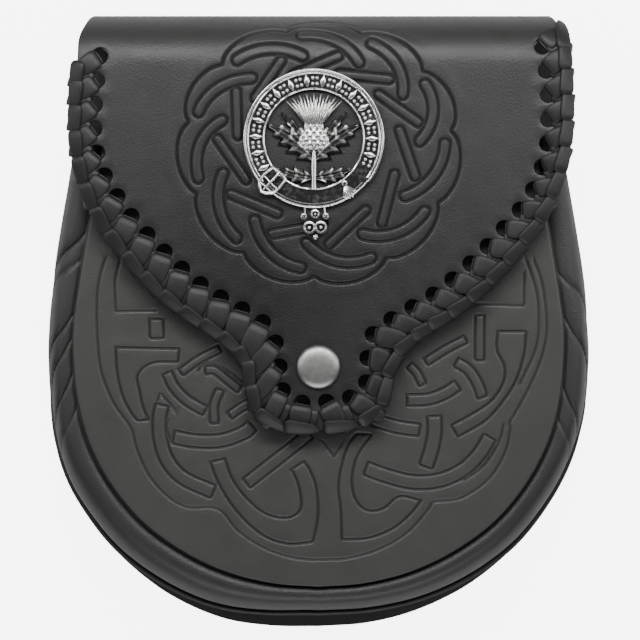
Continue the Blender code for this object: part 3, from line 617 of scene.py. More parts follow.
def triangulate(loops, points):
    """Triangles over the points, inside the first loop and outside the others."""
    coords = []
    edges = []
    for loop in loops:
        first = len(coords)
        coords += [Vector((x, y)) for x, y in loop]
        edges += [(first + index, first + (index + 1) % len(loop)) for index in range(len(loop))]
    coords += [Vector(point) for point in points]
    verts, _, faces, _, _, _ = geometry.delaunay_2d_cdt(coords, edges, [], 0, 1e-7, False)
    flat = np.array([(vert[0], vert[1]) for vert in verts])
    faces = np.array(faces)
    return flat, faces[within(flat[faces].mean(axis=1), loops)]


print("groove", 2 * GROOVE_HALF / MM, "mm wide,", GROOVE_DEPTH / MM, "mm deep")

# %% Make a pressed sheet
SHEET_GRID = 3.0 * MM
UNDER_GRID = 4.8 * MM
EDGE_ROUND = 0.5 * MM
EDGE_ROWS = (0.35, 1.0, 2.4)
POINT_CELL = 0.6 * MM
POINT_GAP = 0.17 * MM


def grain_points(loops, grooves, dense_rows):
    """Points of the grain side: rows beside the edges and along the grooves, and a loose grid between."""
    keeper = Thinner(POINT_CELL)
    for loop in loops:
        for x, y in loop:
            keeper.add(x, y, 0)
    fixed = len(keeper.kept)
    for number, loop in enumerate(loops):
        run = [Vector((x, y, 0)) for x, y in loop]
        area = sum(a.x * b.y - b.x * a.y for a, b in zip(run, run[1:] + run[:1]))
        inward = math.copysign(1.0, area) * (1 if number == 0 else -1)
        for share in EDGE_ROWS[:2] if number else EDGE_ROWS:
            for point in shifted(run, inward * EDGE_ROUND * share, True):
                keeper.add(point.x, point.y, EDGE_ROUND * 0.3)
    for row in GROOVE_ROWS:
        for line in grooves:
            for sign in (1, -1) if row else (1,):
                for point in shifted(line["path"], sign * row * line["half"], line["closed"]):
                    keeper.add(point.x, point.y, POINT_GAP)
    for x, y in grid_points(loops[0], SHEET_GRID, dense_rows):
        keeper.add(x, y, SHEET_GRID * 0.42)
    free = np.array(keeper.kept[fixed:])
    return free[within(free, loops)].tolist()


def edge_tree(loops):
    """A search tree of points along all cut edges."""
    spots = [(start[0] + (end[0] - start[0]) * step / 4, start[1] + (end[1] - start[1]) * step / 4, 0)
             for loop in loops for start, end in zip(loop, loop[1:] + loop[:1]) for step in range(4)]
    tree = kdtree.KDTree(len(spots))
    for index, spot in enumerate(spots):
        tree.insert(spot, index)
    tree.balance()
    return tree


def grain_heights(flat, loops, grooves, wall):
    """The grain side's points in space and the press of each, with the cut edges rounded off."""
    tree, samples = groove_tree(grooves)
    edge = edge_tree(loops)
    tops = []
    presses = []
    for x, y in flat:
        height, press = pressed((x, y), tree, samples)
        away = min(1.0, edge.find((x, y, 0))[2] / EDGE_ROUND)
        drop = EDGE_ROUND * (1 - math.sqrt(max(0.0, 1 - (1 - away) ** 2)))
        tops.append((x, y, wall / 2 + height - drop))
        presses.append(press)
    return tops, presses


def outwards(mesh):
    """The mesh with all its faces turned outwards."""
    form = bmesh.new()
    form.from_mesh(mesh)
    bmesh.ops.recalc_face_normals(form, faces=form.faces)
    form.to_mesh(mesh)
    form.free()
    return mesh


def pressed_sheet(name, outline, holes, grooves, wall, dense_rows=()):
    """A flat sheet of leather with pressed lines, its middle at height zero."""
    loops = [[(point[0], point[1]) for point in loop] for loop in (outline, *holes)]
    flat, faces = triangulate(loops, grain_points(loops, grooves, dense_rows))
    tops, presses = grain_heights(flat, loops, grooves, wall)
    coarse = np.array(grid_points(loops[0], UNDER_GRID, dense_rows))
    under, under_faces = triangulate(loops, coarse[within(coarse, loops)].tolist())
    first = len(tops)
    polygons = [tuple(face) for face in faces.tolist()]
    polygons += [tuple(first + index for index in face[::-1]) for face in under_faces.tolist()]
    start = 0
    for loop in loops:
        for index in range(len(loop)):
            a = start + index
            b = start + (index + 1) % len(loop)
            polygons.append((a, first + a, first + b, b))
        start += len(loop)
    mesh = bpy.data.meshes.new(name)
    mesh.from_pydata(tops + [(x, y, -wall / 2) for x, y in under], [], polygons)
    # press: the groove's depth share, which the finish turns into painted shade
    values = np.array(presses + [0.0] * len(under), dtype=np.float32)
    mesh.attributes.new("press", "FLOAT", "POINT").data.foreach_set("value", values)
    return outwards(mesh)


def add_piece(name, mesh, material, replaced=()):
    """A finished mesh as a piece of the object, in place of the solids named."""
    mesh.materials.clear()
    mesh.materials.append(material)
    piece = bpy.data.objects.new(name, mesh)
    bpy.context.scene.collection.objects.link(piece)
    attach(piece, "root")
    if replaced:
        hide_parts(*replaced)
    faces = sum(len(face.vertices) - 2 for face in mesh.polygons)
    print(name, "has", faces, "triangles")
    return piece


def shade(mesh, angle=40.0):
    """Smooth shading, with a crease wherever faces meet at more than the angle."""
    mesh.polygons.foreach_set("use_smooth", [True] * len(mesh.polygons))
    mesh.set_sharp_from_angle(angle=math.radians(angle))


print("a pressed sheet can be made")

# %% Tools for bars, turned forms and laid-out patterns
def loft(form, rings, looped=False):
    """Skin over rings of points, each closed on itself, with the press attribute that leather reads."""
    if not form.verts.layers.float.get("press"):
        form.verts.layers.float.new("press")
    grid = [[form.verts.new(point) for point in ring] for ring in rings]
    following = grid[1:] + (grid[:1] if looped else [])
    for ring, beyond in zip(grid, following):
        for index in range(len(ring)):
            form.faces.new((ring[index - 1], ring[index], beyond[index], beyond[index - 1]))
    if not looped:
        form.faces.new(grid[0][::-1])
        form.faces.new(grid[-1])


def bar_rings(path, radii, sides, looped=False):
    """Round sections along a path that lies roughly level."""
    rings = []
    for index, center in enumerate(path):
        run = run_at(path, index, looped)
        side = run.cross(Vector((0, 0, 1))).normalized()
        rise = side.cross(run)
        radius = radii[index] if isinstance(radii, list) else radii
        rings.append([center + side * radius * math.cos(turn) + rise * radius * math.sin(turn)
                      for turn in around(sides)])
    return rings


def turned_rings(profile, steps, center):
    """Sections of a turned form round an upright axis, from a profile of (radius, height)."""
    return [[Vector((center[0] + radius * math.cos(turn), center[1] + radius * math.sin(turn), height))
             for radius, height in profile] for turn in around(steps)]


def strip_rings(rows, width, wall, points=12, dome=0.0):
    """Sections of a flat strip that runs along +Y. rows are (out, up, width share, thickness share)."""
    rings = []
    for index, (out, up, wide, thick) in enumerate(rows):
        ahead = rows[min(index + 1, len(rows) - 1)]
        behind = rows[max(index - 1, 0)]
        run = Vector((0, ahead[0] - behind[0], ahead[1] - behind[1])).normalized()
        rise = Vector((0, -run.z, run.y))
        ring = []
        for turn in around(points, 0.5):
            across = math.copysign(abs(math.cos(turn)) ** 0.45, math.cos(turn))
            lift = math.copysign(abs(math.sin(turn)) ** 0.50, math.sin(turn)) / 2
            lift += dome * (1 - across * across)
            ring.append(Vector((across * width * wide / 2, out, up)) + rise * lift * wall * thick)
        rings.append(ring)
    return rings


def form_mesh(name, form):
    """The finished form as a mesh, all faces outwards."""
    bmesh.ops.recalc_face_normals(form, faces=form.faces)
    mesh = bpy.data.meshes.new(name)
    form.to_mesh(mesh)
    form.free()
    return mesh


PATTERN_INPUTS = [("Geometry", "Geometry"), ("Pattern", "Object"), ("Finish", "Material"),
                  ("Unevenness", "Float"), ("Seed", "Int")]
PATTERN_NODES = [
    # key, kind, settings
    ("start", "NodeGroupInput", {}),
    ("pattern", "GeometryNodeObjectInfo", {}),
    ("turn", "GeometryNodeInputNamedAttribute", {"data_type": "FLOAT_VECTOR"}),
    ("size", "GeometryNodeInputNamedAttribute", {"data_type": "FLOAT_VECTOR"}),
    ("chance", "FunctionNodeRandomValue", {"data_type": "FLOAT_VECTOR"}),
    ("wobble", "ShaderNodeVectorMath", {"operation": "SCALE"}),
    ("total", "ShaderNodeVectorMath", {}),
    ("rotation", "FunctionNodeEulerToRotation", {}),
    ("laid", "GeometryNodeInstanceOnPoints", {}),
    ("real", "GeometryNodeRealizeInstances", {}),
    ("finish", "GeometryNodeSetMaterial", {}),
    ("end", "NodeGroupOutput", {}),
]
PATTERN_LINKS = [
    # node and output, node and input
    ("start", "Pattern", "pattern", "Object"), ("start", "Seed", "chance", "Seed"),
    ("chance", 0, "wobble", 0), ("start", "Unevenness", "wobble", "Scale"),
    ("turn", "Attribute", "total", 0), ("wobble", 0, "total", 1), ("total", 0, "rotation", 0),
    ("start", "Geometry", "laid", "Points"), ("pattern", "Geometry", "laid", "Instance"),
    ("rotation", 0, "laid", "Rotation"), ("size", "Attribute", "laid", "Scale"), ("laid", 0, "real", 0),
    ("real", 0, "finish", "Geometry"), ("start", "Finish", "finish", "Material"), ("finish", 0, "end", 0),
]


def pattern_tree():
    """Geometry nodes that lay one pattern on every point, with its turn and size read from the points."""
    tree = bpy.data.node_groups.new("laid_patterns", "GeometryNodeTree")
    for name, kind in PATTERN_INPUTS:
        tree.interface.new_socket(name, in_out="INPUT", socket_type="NodeSocket" + kind)
    tree.interface.new_socket("Geometry", in_out="OUTPUT", socket_type="NodeSocketGeometry")
    made = {}
    for key, kind, settings in PATTERN_NODES:
        made[key] = tree.nodes.new(kind)
        for name, value in settings.items():
            setattr(made[key], name, value)
    for key in ("turn", "size"):
        made[key].inputs["Name"].default_value = key
    made["chance"].inputs[0].default_value = (-1.0, -1.0, -1.0)
    for start, output, end, entry in PATTERN_LINKS:
        tree.links.new(made[start].outputs[output], made[end].inputs[entry])
    return tree


PATTERN_TREE = pattern_tree()


def laid_out(name, pattern, spots, finish, unevenness=0.0, seed=1):
    """A mesh with one pattern at every spot: a place, a turn about each axis and a size along each."""
    points = bpy.data.meshes.new(name)
    points.from_pydata([place for place, _, _ in spots], [], [])
    for key, index in (("turn", 1), ("size", 2)):
        values = np.array([tuple(spot[index]) for spot in spots], dtype=np.float32).ravel()
        points.attributes.new(key, "FLOAT_VECTOR", "POINT").data.foreach_set("vector", values)
    stock = bpy.data.objects.new("stock", pattern)
    holder = bpy.data.objects.new("holder", points)
    for item in (stock, holder):
        bpy.context.scene.collection.objects.link(item)
    modifier = holder.modifiers.new("laid", "NODES")
    modifier.node_group = PATTERN_TREE
    inputs = {"Pattern": stock, "Finish": finish, "Unevenness": unevenness, "Seed": seed}
    for socket in PATTERN_TREE.interface.items_tree:
        if socket.in_out == "INPUT" and socket.name in inputs:
            modifier[socket.identifier] = inputs[socket.name]
    mesh = bpy.data.meshes.new_from_object(holder.evaluated_get(bpy.context.evaluated_depsgraph_get()))
    for item in (holder, stock):
        bpy.data.objects.remove(item)
    return outwards(mesh)


def joined(name, meshes):
    """Several meshes as one."""
    form = bmesh.new()
    for mesh in meshes:
        form.from_mesh(mesh)
    result = bpy.data.meshes.new(name)
    form.to_mesh(result)
    form.free()
    return result


def finished(mesh, modifiers):
    """The mesh with modifiers applied, as plain geometry."""
    holder = bpy.data.objects.new("holder", mesh)
    bpy.context.scene.collection.objects.link(holder)
    for kind, settings in modifiers:
        modifier = holder.modifiers.new(kind.lower(), kind)
        for name, value in settings.items():
            setattr(modifier, name, value)
    result = bpy.data.meshes.new_from_object(holder.evaluated_get(bpy.context.evaluated_depsgraph_get()))
    bpy.data.objects.remove(holder)
    return result


print("bars, turned forms and patterns can be made")

# %% [markdown]
# The flap's edge is laced. Round holes were punched by hand along their own line, a little nearer to
# the cut edge on the right than on the left. Each turn of the flat lace leaves its hole, slants along
# to the edge and goes round it. The same stations serve the holes in the sheet and the lace that fills
# them.

# %% Lacing stations
HOLE_RADIUS = 2.65 * MM
HOLE_PITCH = 8.0 * MM
LACE_SLANT = 5.2 * MM
LACING_TOP = 15.0 * MM
HOLES_LEFT = [
    # across, up
    (-0.877, 1.026), (-0.888, 0.943), (-0.897, 0.852), (-0.901, 0.757), (-0.893, 0.663), (-0.864, 0.570),
    (-0.756, 0.411), (-0.617, 0.267), (-0.463, 0.136), (-0.285, 0.036),
]
HOLES_TAB = [
    # across, down
    (-0.757, 0.043), (-0.595, 0.263), (-0.572, 0.469), (-0.518, 0.651), (-0.315, 0.743), (-0.009, 0.749),
    (0.369, 0.720), (0.662, 0.640), (0.712, 0.469), (0.734, 0.286), (0.838, 0.074),
]
HOLES_RIGHT = [
    # across, up
    (0.310, 0.018), (0.402, 0.070), (0.500, 0.131), (0.653, 0.264), (0.802, 0.422), (0.860, 0.501),
    (0.898, 0.594), (0.920, 0.690), (0.923, 0.795), (0.921, 0.892), (0.912, 0.986), (0.900, 1.063),
]


def lacing_edge():
    """The flap's cut edge from the left end of the lacing to its right end, at even steps."""
    limit = FOLD_Y + LACING_TOP
    right = [point for point in flap_half_edge(1) if point.y <= limit]
    left = [Vector((-point.x, point.y, 0)) for point in flap_half_edge(-1) if point.y <= limit]
    return even(left + right[-2::-1], HOLE_PITCH / 8)


def lace_holes():
    points = placed(HOLES_LEFT, FLAP_HALF_WIDTH, FOLD_Y)
    points += placed(HOLES_TAB, TAB_HALF_WIDTH, TAB_BOTTOM)
    points += placed(HOLES_RIGHT, FLAP_HALF_WIDTH, FOLD_Y)
    return even(smooth_path(points, 4), HOLE_PITCH)


def nearest_place(path, point):
    gaps = [(point - other).length for other in path]
    return gaps.index(min(gaps))


def way_along(edge, place):
    return (read_at(edge, min(place + 2, len(edge) - 1)) - read_at(edge, max(place - 2, 0))).normalized()


def lacing_stations():
    """For every turn of lace: its hole's centre and its place along the edge."""
    holes = lace_holes()
    places = [nearest_place(flap_edge, hole) for hole in holes]
    stations = []
    for index, hole in enumerate(holes):
        reach = min(2, index, len(holes) - 1 - index)
        beside = places[index - reach:index + reach + 1]
        stations.append((hole, sum(beside) / len(beside)))
    return stations


flap_edge = lacing_edge()
stations = lacing_stations()
print(len(stations), "holes along", round(running_lengths(flap_edge)[-1] / MM), "mm of edge")

# %% [markdown]
# The flap's ornament is a traditional plaited wreath. Eleven strands run round it, so it is one strand
# drawn eleven times: a scalloped outer line, a curved slot where a strand dips under the next, and a
# straight slot further in. Near the fold the wreath is drawn a little shorter, because the leather
# already turns away there.

# %% The wreath's lines
WREATH_COUNT = 11
WREATH_MIDDLE = (0.2 * MM, 58.3 * MM)
WREATH_LOBE = 46.5 * MM
WREATH_NOTCH = 43.2 * MM
WREATH_NOTCH_ANGLE = 137.0
WREATH_TOP_SHARE = 0.87
SLOT_WIDTH = 3.5 * MM
SLOT_START = (32.8 * MM, 132.0)
SLOT_END = (41.0 * MM, 163.5)
SLOT_BOW = 1.9 * MM
BAR_WIDTH = 3.1 * MM
BAR_START = (33.2 * MM, 144.5)
BAR_END = (26.6 * MM, 174.0)


def on_wreath(radius, degrees):
    """A point of the wreath, from its middle, on the flat pattern."""
    x = radius * math.cos(math.radians(degrees))
    y = radius * math.sin(math.radians(degrees))
    return Vector((WREATH_MIDDLE[0] + x, WREATH_MIDDLE[1] + y * (WREATH_TOP_SHARE if y > 0 else 1.0), 0))


def wreath_grooves():
    lines = []
    step = 360.0 / WREATH_COUNT
    scallop = []
    for lobe in range(WREATH_COUNT):
        turn = lobe * step
        for part in range(12):
            t = part / 12
            radius = WREATH_NOTCH + (WREATH_LOBE - WREATH_NOTCH) * (1 - (2 * t - 1) ** 2) ** 0.75
            scallop.append(on_wreath(radius, WREATH_NOTCH_ANGLE + turn + step * t))
        slot = []
        for part in range(13):
            t = part / 12
            radius = SLOT_START[0] + (SLOT_END[0] - SLOT_START[0]) * t + SLOT_BOW * 4 * t * (1 - t)
            slot.append(on_wreath(radius, SLOT_START[1] + (SLOT_END[1] - SLOT_START[1]) * t + turn))
        lines.append(groove(ribbon(slot, SLOT_WIDTH, rounded=True)))
        ends = [on_wreath(BAR_START[0], BAR_START[1] + turn), on_wreath(BAR_END[0], BAR_END[1] + turn)]
        bar = [ends[0].lerp(ends[1], part / 6) for part in range(7)]
        lines.append(groove(ribbon(bar, BAR_WIDTH, rounded=True)))
    lines.append(groove(scallop, depth=1.15, half=1.1))
    return lines


wreath = wreath_grooves()
print("wreath:", len(wreath), "pressed lines")

# %% The folded sheet
def ring_points(center, radius, sides):
    return [(center[0] + radius * math.cos(turn), center[1] + radius * math.sin(turn))
            for turn in around(sides)]


def make_folded_sheet():
    holes = [ring_points(hole, HOLE_RADIUS, 20) for hole, _ in stations]
    holes.append(ring_points((0.0, SNAP_HEIGHT), SNAP_HOLE_RADIUS, 14))
    for side in (-1, 1):
        holes.append(ring_points((BADGE_X + side * BADGE_POST_REACH, BADGE_Y), BADGE_POST_HOLE, 10))
    outline = even(sheet_outline() + sheet_outline()[:1], 1.6 * MM)[:-1]
    fold = (FOLD_Y - 2 * MM, FOLD_Y + FOLD_ARC + 2 * MM)
    mesh = pressed_sheet("folded_sheet", outline, holes, wreath, BACK_WALL, [fold])
    for vert in mesh.vertices:
        vert.co = bend(*vert.co)
    shade(mesh)
    return add_piece("folded_sheet", mesh, shell_finish, ["back_and_flap"])


make_folded_sheet()

# %% [markdown]
# The pouch's front is a stiff panel, tooled with a large knot. The maker swings one long strand over
# and under itself, so wherever it passes under, its two lines stop. What one sees is a set of short
# bands with closed ends. Each band is listed here by its middle line and width in millimetres, and a
# loop presses its outline.

# %% The knot on the front panel
KNOT_BANDS = [
    # width, middle line
    (2.6, [(-45.0, -16.5), (-39.0, -12.2), (-32.0, -8.5)]),
    (3.3, [(-49.5, -16.5), (-47.2, -21.2), (-43.0, -25.5), (-37.0, -29.0)]),
    (2.6, [(-37.0, -15.8), (-34.0, -15.6), (-29.5, -19.0), (-25.5, -22.0)]),
    (2.8, [(-32.0, -22.0), (-34.0, -27.0), (-34.0, -33.0)]),
    (2.8, [(-29.0, -30.5), (-25.5, -28.0), (-20.0, -25.0)]),
    (4.3, [(-47.3, -37.5), (-40.0, -38.8), (-31.5, -38.6), (-24.3, -36.0), (-21.5, -33.7)]),
    (4.4, [(-51.0, -27.0), (-51.9, -31.5), (-51.7, -38.0), (-49.5, -45.0), (-44.3, -50.8), (-34.3, -55.4)]),
    (3.9, [(-23.5, -52.6), (-17.0, -47.5), (-10.0, -42.0), (-3.0, -36.0)]),
    (2.7, [(35.0, -13.0), (42.0, -8.6), (48.0, -5.6)]),
    (3.3, [(45.0, -13.0), (49.0, -15.6), (52.0, -20.3), (53.5, -24.5)]),
    (2.6, [(29.5, -14.0), (32.0, -16.6), (34.0, -20.4)]),
    (3.7, [(28.8, -25.4), (36.0, -25.1), (41.5, -23.1), (45.4, -20.6)]),
    (4.6, [(37.7, -30.6), (37.9, -36.0), (36.8, -42.0), (35.1, -47.2)]),
    (4.1, [(17.0, -31.0), (20.0, -32.4), (26.0, -34.2), (33.0, -35.2)]),
    (4.5, [(15.5, -47.7), (22.5, -50.2), (31.0, -52.2), (39.6, -51.6), (47.4, -48.1), (52.6, -43.0),
         (56.0, -37.5)]),
    (3.0, [(52.6, 2.3), (52.6, -12.4)]),
]
KNOT_SHAPES = [
    # corners of closed bands that change in width
    [(-55.1, 1.1), (-50.5, 1.1), (-50.5, -5.2), (-55.1, -5.2)],
    [(-66.2, -8.2), (-45.4, -8.6), (-45.8, -12.9), (-53.2, -13.0), (-57.3, -14.9), (-59.2, -18.1),
     (-58.4, -22.6),
     (-57.3, -27.8), (-55.5, -31.8), (-59.2, -32.1), (-61.4, -29.2), (-64.0, -24.0), (-65.7, -16.6)],
    [(-35.4, -45.6), (-32.4, -53.0), (-26.5, -62.0), (-18.3, -69.4), (-10.1, -72.3), (-1.8, -71.7),
     (-0.6, -66.5),
     (-0.1, -61.2), (-0.8, -53.8), (-2.7, -48.6), (-4.8, -45.4), (-9.4, -48.4), (-8.4, -48.9),
     (-6.4, -53.8),
     (-5.6, -59.7), (-6.9, -62.4), (-10.9, -63.9), (-17.0, -62.6), (-22.8, -58.2), (-28.0, -51.5),
     (-30.6, -44.5)],
    [(58.5, -2.9), (58.3, -9.2), (60.7, -14.4), (60.4, -19.6), (56.6, -25.5), (50.7, -29.6), (43.3, -33.7),
     (45.5, -37.4), (54.4, -32.2), (60.4, -25.6), (64.5, -18.9), (67.1, -10.6), (67.8, -2.9)],
    [(33.6, -58.2), (29.2, -63.4), (23.2, -67.9), (15.8, -70.5), (7.6, -70.9), (7.3, -61.2), (6.5, -53.8),
     (7.7, -46.3), (9.9, -39.6), (12.2, -36.4), (17.3, -36.6), (12.8, -43.4), (11.0, -50.1), (11.4, -56.0),
     (13.6, -60.0), (17.3, -61.6), (21.7, -60.5), (26.5, -56.8)],
]
KNOT_LINES = [
    # open lines: the knot's outer edge and what shows of it beside the flap
    [(-69.6, 20.3), (-71.2, 15.5), (-72.2, 9.5), (-72.4, 0.0), (-71.7, -11.4), (-70.4, -18.1),
     (-66.6, -27.0),
     (-61.4, -34.4), (-59.2, -41.9), (-55.4, -50.0),
     (-49.5, -56.7), (-42.8, -60.4), (-32.9, -60.9), (-26.5, -67.9), (-18.3, -73.4), (-10.1, -76.4),
     (-2.7, -77.5),
     (4.0, -77.4), (8.4, -77.2), (16.5, -75.3), (23.2, -72.4), (29.9, -67.9), (35.9, -61.1), (37.8, -58.6),
     (44.9, -57.9), (50.7, -55.1), (56.7, -50.0), (61.2, -41.9), (62.6, -34.5), (62.3, -33.0),
     (64.5, -29.3),
     (68.5, -21.9), (72.7, -12.1), (74.5, -3.3), (74.1, 5.7), (72.6, 14.0), (70.4, 19.8)],
    [(68.0, 19.6), (70.9, 11.0), (71.9, 3.3), (71.2, -7.9), (66.0, -19.9)],
    [(60.4, -33.6), (59.0, -38.9), (54.5, -46.4), (47.7, -51.5)],
    [(-64.9, 19.6), (-66.4, 13.0), (-66.2, 3.6), (-53.0, 3.9)],
    [(67.1, 16.0), (67.1, 5.4), (52.0, 6.0)],
    [(1.6, -38.9), (5.0, -44.1), (7.7, -39.6)],
    [(-52.5, -25.6), (-51.6, -23.2), (-47.4, -28.0)],
    [(-49.2, -32.0), (-49.6, -35.0), (-48.2, -39.5)],
    [(-39.2, -15.8), (-37.3, -13.8), (-33.4, -13.7), (-28.4, -16.4), (-24.6, -19.5)],
]
KNOT_CORNER = math.radians(52)
KNOT_LINE_HALF = 0.95
KNOT_BAND_DEPTH = 0.90
KNOT_LINE_DEPTH = 0.74


def softened(corners, looped):
    """The line through the corners, rounded everywhere except where it turns sharply."""
    points = [Vector((x, y, 0)) * MM for x, y in corners]
    count = len(points)
    sharp = []
    for index in range(count):
        ahead = points[(index + 1) % count] - points[index]
        behind = points[index] - points[index - 1]
        if ahead.angle(behind) > KNOT_CORNER or (not looped and index in (0, count - 1)):
            sharp.append(index)
    line = []
    ends = sharp[1:] + ([sharp[0] + count] if looped else [])
    for start, end in zip(sharp, ends):
        run = [points[index % count] for index in range(start, end + 1)]
        line += smooth_path(run, 5)[:-1]
    return line if looped else line + [points[-1]]


def knot_grooves():
    lines = []
    for width, middle in KNOT_BANDS:
        path = smooth_path([Vector((x, y, 0)) * MM for x, y in middle], 6)
        lines.append(groove(ribbon(path, width * MM), depth=KNOT_BAND_DEPTH, half=KNOT_LINE_HALF))
    for corners in KNOT_SHAPES:
        lines.append(groove(softened(corners, True), depth=KNOT_BAND_DEPTH, half=KNOT_LINE_HALF))
    for line in KNOT_LINES:
        lines.append(groove(softened(line, False), False, KNOT_LINE_DEPTH, KNOT_LINE_HALF))
    return lines


knot = knot_grooves()
print("knot:", len(knot), "pressed lines")

# %% The front panel
MOUTH_HEIGHT = 60.0 * MM
MOUTH_DIP = 6.0 * MM
GUSSET_SECTIONS = [
    # seam across, seam up, widest line across and up, share of the way out to the foot
    (0.790, 0.600, 0.893, 0.640, 0.62),
    (0.822, 0.450, 0.921, 0.480, 0.62),
    (0.850, 0.300, 0.954, 0.310, 0.64),
    (0.880, 0.140, 0.985, 0.130, 0.66),
    (0.902, 0.000, 0.998, -0.030, 0.70),
    (0.904, -0.110, 1.000, -0.150, 0.74),
    (0.890, -0.240, 0.979, -0.300, 0.80),
    (0.850, -0.380, 0.932, -0.440, 0.86),
    (0.770, -0.520, 0.846, -0.580, 0.90),
    (0.650, -0.648, 0.720, -0.718, 0.93),
    (0.500, -0.745, 0.556, -0.824, 0.95),
    (0.340, -0.812, 0.376, -0.895, 0.95),
    (0.170, -0.850, 0.188, -0.931, 0.95),
    (0.000, -0.862, 0.000, -0.941, 0.95),
]


def seam_line(steps):
    """The right half of the seam between panel and gusset, from the mouth to the bottom."""
    points = [Vector((BODY_HALF_WIDTH * row[0], BODY_LENGTH / 2 * row[1], row[4])) for row in GUSSET_SECTIONS]
    return smooth_path(points, steps)


def make_tooled_panel():
    seam = seam_line(6)
    top = [Vector((seam[0].x * share, MOUTH_HEIGHT - MOUTH_DIP * (1 - share * share), 0))
           for share in (0.0, 0.3, 0.6, 0.85)]
    half = top + [Vector((point.x, point.y, 0)) for point in seam if point.y <= MOUTH_HEIGHT]
    outline = even(mirrored(half) + mirrored(half)[:1], 1.8 * MM)[:-1]
    hole = ring_points((0.0, SNAP_HEIGHT), SNAP_HOLE_RADIUS, 14)
    mesh = pressed_sheet("tooled_panel", outline, [hole], knot, FRONT_WALL)
    mesh.transform(Matrix.Translation((0, 0, POUCH_DEPTH - FRONT_WALL / 2)))
    shade(mesh)
    return add_piece("tooled_panel", mesh, panel_finish, ["front_panel"])


make_tooled_panel()

# %% [markdown]
# The soft side wall is one strip of thin leather, sewn to the panel's edge at the front and to the back
# at its foot. It puffs out between its seams, and where the pouch has been opened often it has creases
# that slant down from the seam. It is a loft: one section after another round the pouch, with the
# creases pressed into it.

# %% The gusset
SEAM_LIP = 5.0 * MM
FOOT_LIP = 5.0 * MM
SEAM_HEIGHT = POUCH_DEPTH - FRONT_WALL - GAP - GUSSET_WALL / 2
GUSSET_PROFILE = [
    # out, up
    (0.070, 1.000), (0.120, 1.018), (0.180, 1.046), (0.280, 1.064), (0.430, 1.062), (0.580, 1.030),
    (0.720, 0.960), (0.830, 0.850), (0.900, 0.700), (0.920, 0.500), (0.905, 0.340), (0.880, 0.200),
]
LEFT_CREASES = [
    # height at the seam and slant in mm, depth, half width in mm
    (29.2, 36.0, 1.0, 0.85),
    (21.0, 30.0, 0.5, 0.80),
    (3.0, 40.0, 1.0, 0.85),
    (-4.6, 46.0, 0.9, 0.85),
    (-16.0, 40.0, 0.8, 0.80),
    (-26.5, 34.0, 0.4, 0.80),
]
RIGHT_CREASES = [
    (16.5, 34.0, 0.5, 0.90),
    (2.0, 48.0, 1.0, 0.85),
    (-20.5, 34.0, 0.7, 0.80),
    (-30.0, 30.0, 0.3, 0.80),
]
CREASE_DEPTH = 1.35 * MM
PUFF_DEPTH = 0.30 * MM
PUFF_REACH = 4.5 * MM
CREASE_START = 0.06     # share of the way down by which a crease has its full depth
CREASE_END = 0.42       # where it starts to fade
CREASE_FADE = 0.30
FLUSH_START = 25 * MM   # below the middle, where the shoulder starts to stand up fully
FLUSH_RUN = 35 * MM
FLUSH_LEAST = 0.45
FOOT_TURN = GUSSET_WALL * 0.9
FOOT_BEND = [
    # in and up, as shares of the turn
    (0.0, 1.1), (0.4, 0.35), (1.5, 0.0),
]


def crease_depth(creases, seam_height, share):
    """How deep the leather is pressed where a section leaves the seam, at a share of its way down."""
    depth = 0.0
    for height, slant, amount, half in creases:
        distance = seam_height - (height - slant * share) * MM
        sharp = math.exp(-(distance / (half * MM)) ** 2)
        soft = math.exp(-(distance / PUFF_REACH) ** 2)
        depth += amount * (CREASE_DEPTH * sharp + PUFF_DEPTH * soft)
    return depth * ease(share / CREASE_START) * (1 - ease((share - CREASE_END) / CREASE_FADE))


def gusset_section(seam, wide, sign, creases):
    """Points across the gusset, from the lip under the panel to the lip on the back, and each one's press."""
    start = Vector((seam.x, seam.y, 0))
    reach = fuller(wide, sign) - start
    outward = reach.normalized()
    foot = start + reach * seam.z
    rest = BACK_WALL + GAP + GUSSET_WALL / 2
    foot_height = back_rise(foot.y) + rest
    flush = FLUSH_LEAST + (1 - FLUSH_LEAST) * ease((-seam.y - FLUSH_START) / FLUSH_RUN)
    flat = [Vector((-SEAM_LIP, SEAM_HEIGHT)), Vector((0.0, SEAM_HEIGHT))]
    for out, up in GUSSET_PROFILE:
        shoulder = 1 + (up - 1) * flush if up > 1 else up
        flat.append(Vector((reach.length * out, foot_height + (SEAM_HEIGHT - foot_height) * shoulder)))
    foot_out = reach.length * seam.z
    flat += [Vector((foot_out - FOOT_TURN * back, foot_height + FOOT_TURN * up)) for back, up in FOOT_BEND]
    flat.append(flat[-1] - Vector((FOOT_LIP, 0.0)))
    flat = smooth_path([Vector((point.x, point.y, 0)) for point in flat], 2)
    lengths = running_lengths(flat)
    places = []
    for index, point in enumerate(flat):
        along = run_at(flat, index)
        share = max(0.0, (lengths[index] - SEAM_LIP) / lengths[-1])
        depth = crease_depth(creases, seam.y, share)
        up = point.y - along.x * depth
        spot = start + outward * (point.x + along.y * depth)
        # the crease's press share darkens it in the finish, as painted shade
        places.append((Vector((sign * spot.x, spot.y, up)), min(1.0, depth / CREASE_DEPTH)))
    return places


def gusset_sections():
    wide = placed([row[2:4] for row in GUSSET_SECTIONS], BODY_HALF_WIDTH, BODY_LENGTH / 2)
    return list(zip(seam_line(24), smooth_path(wide, 24)))


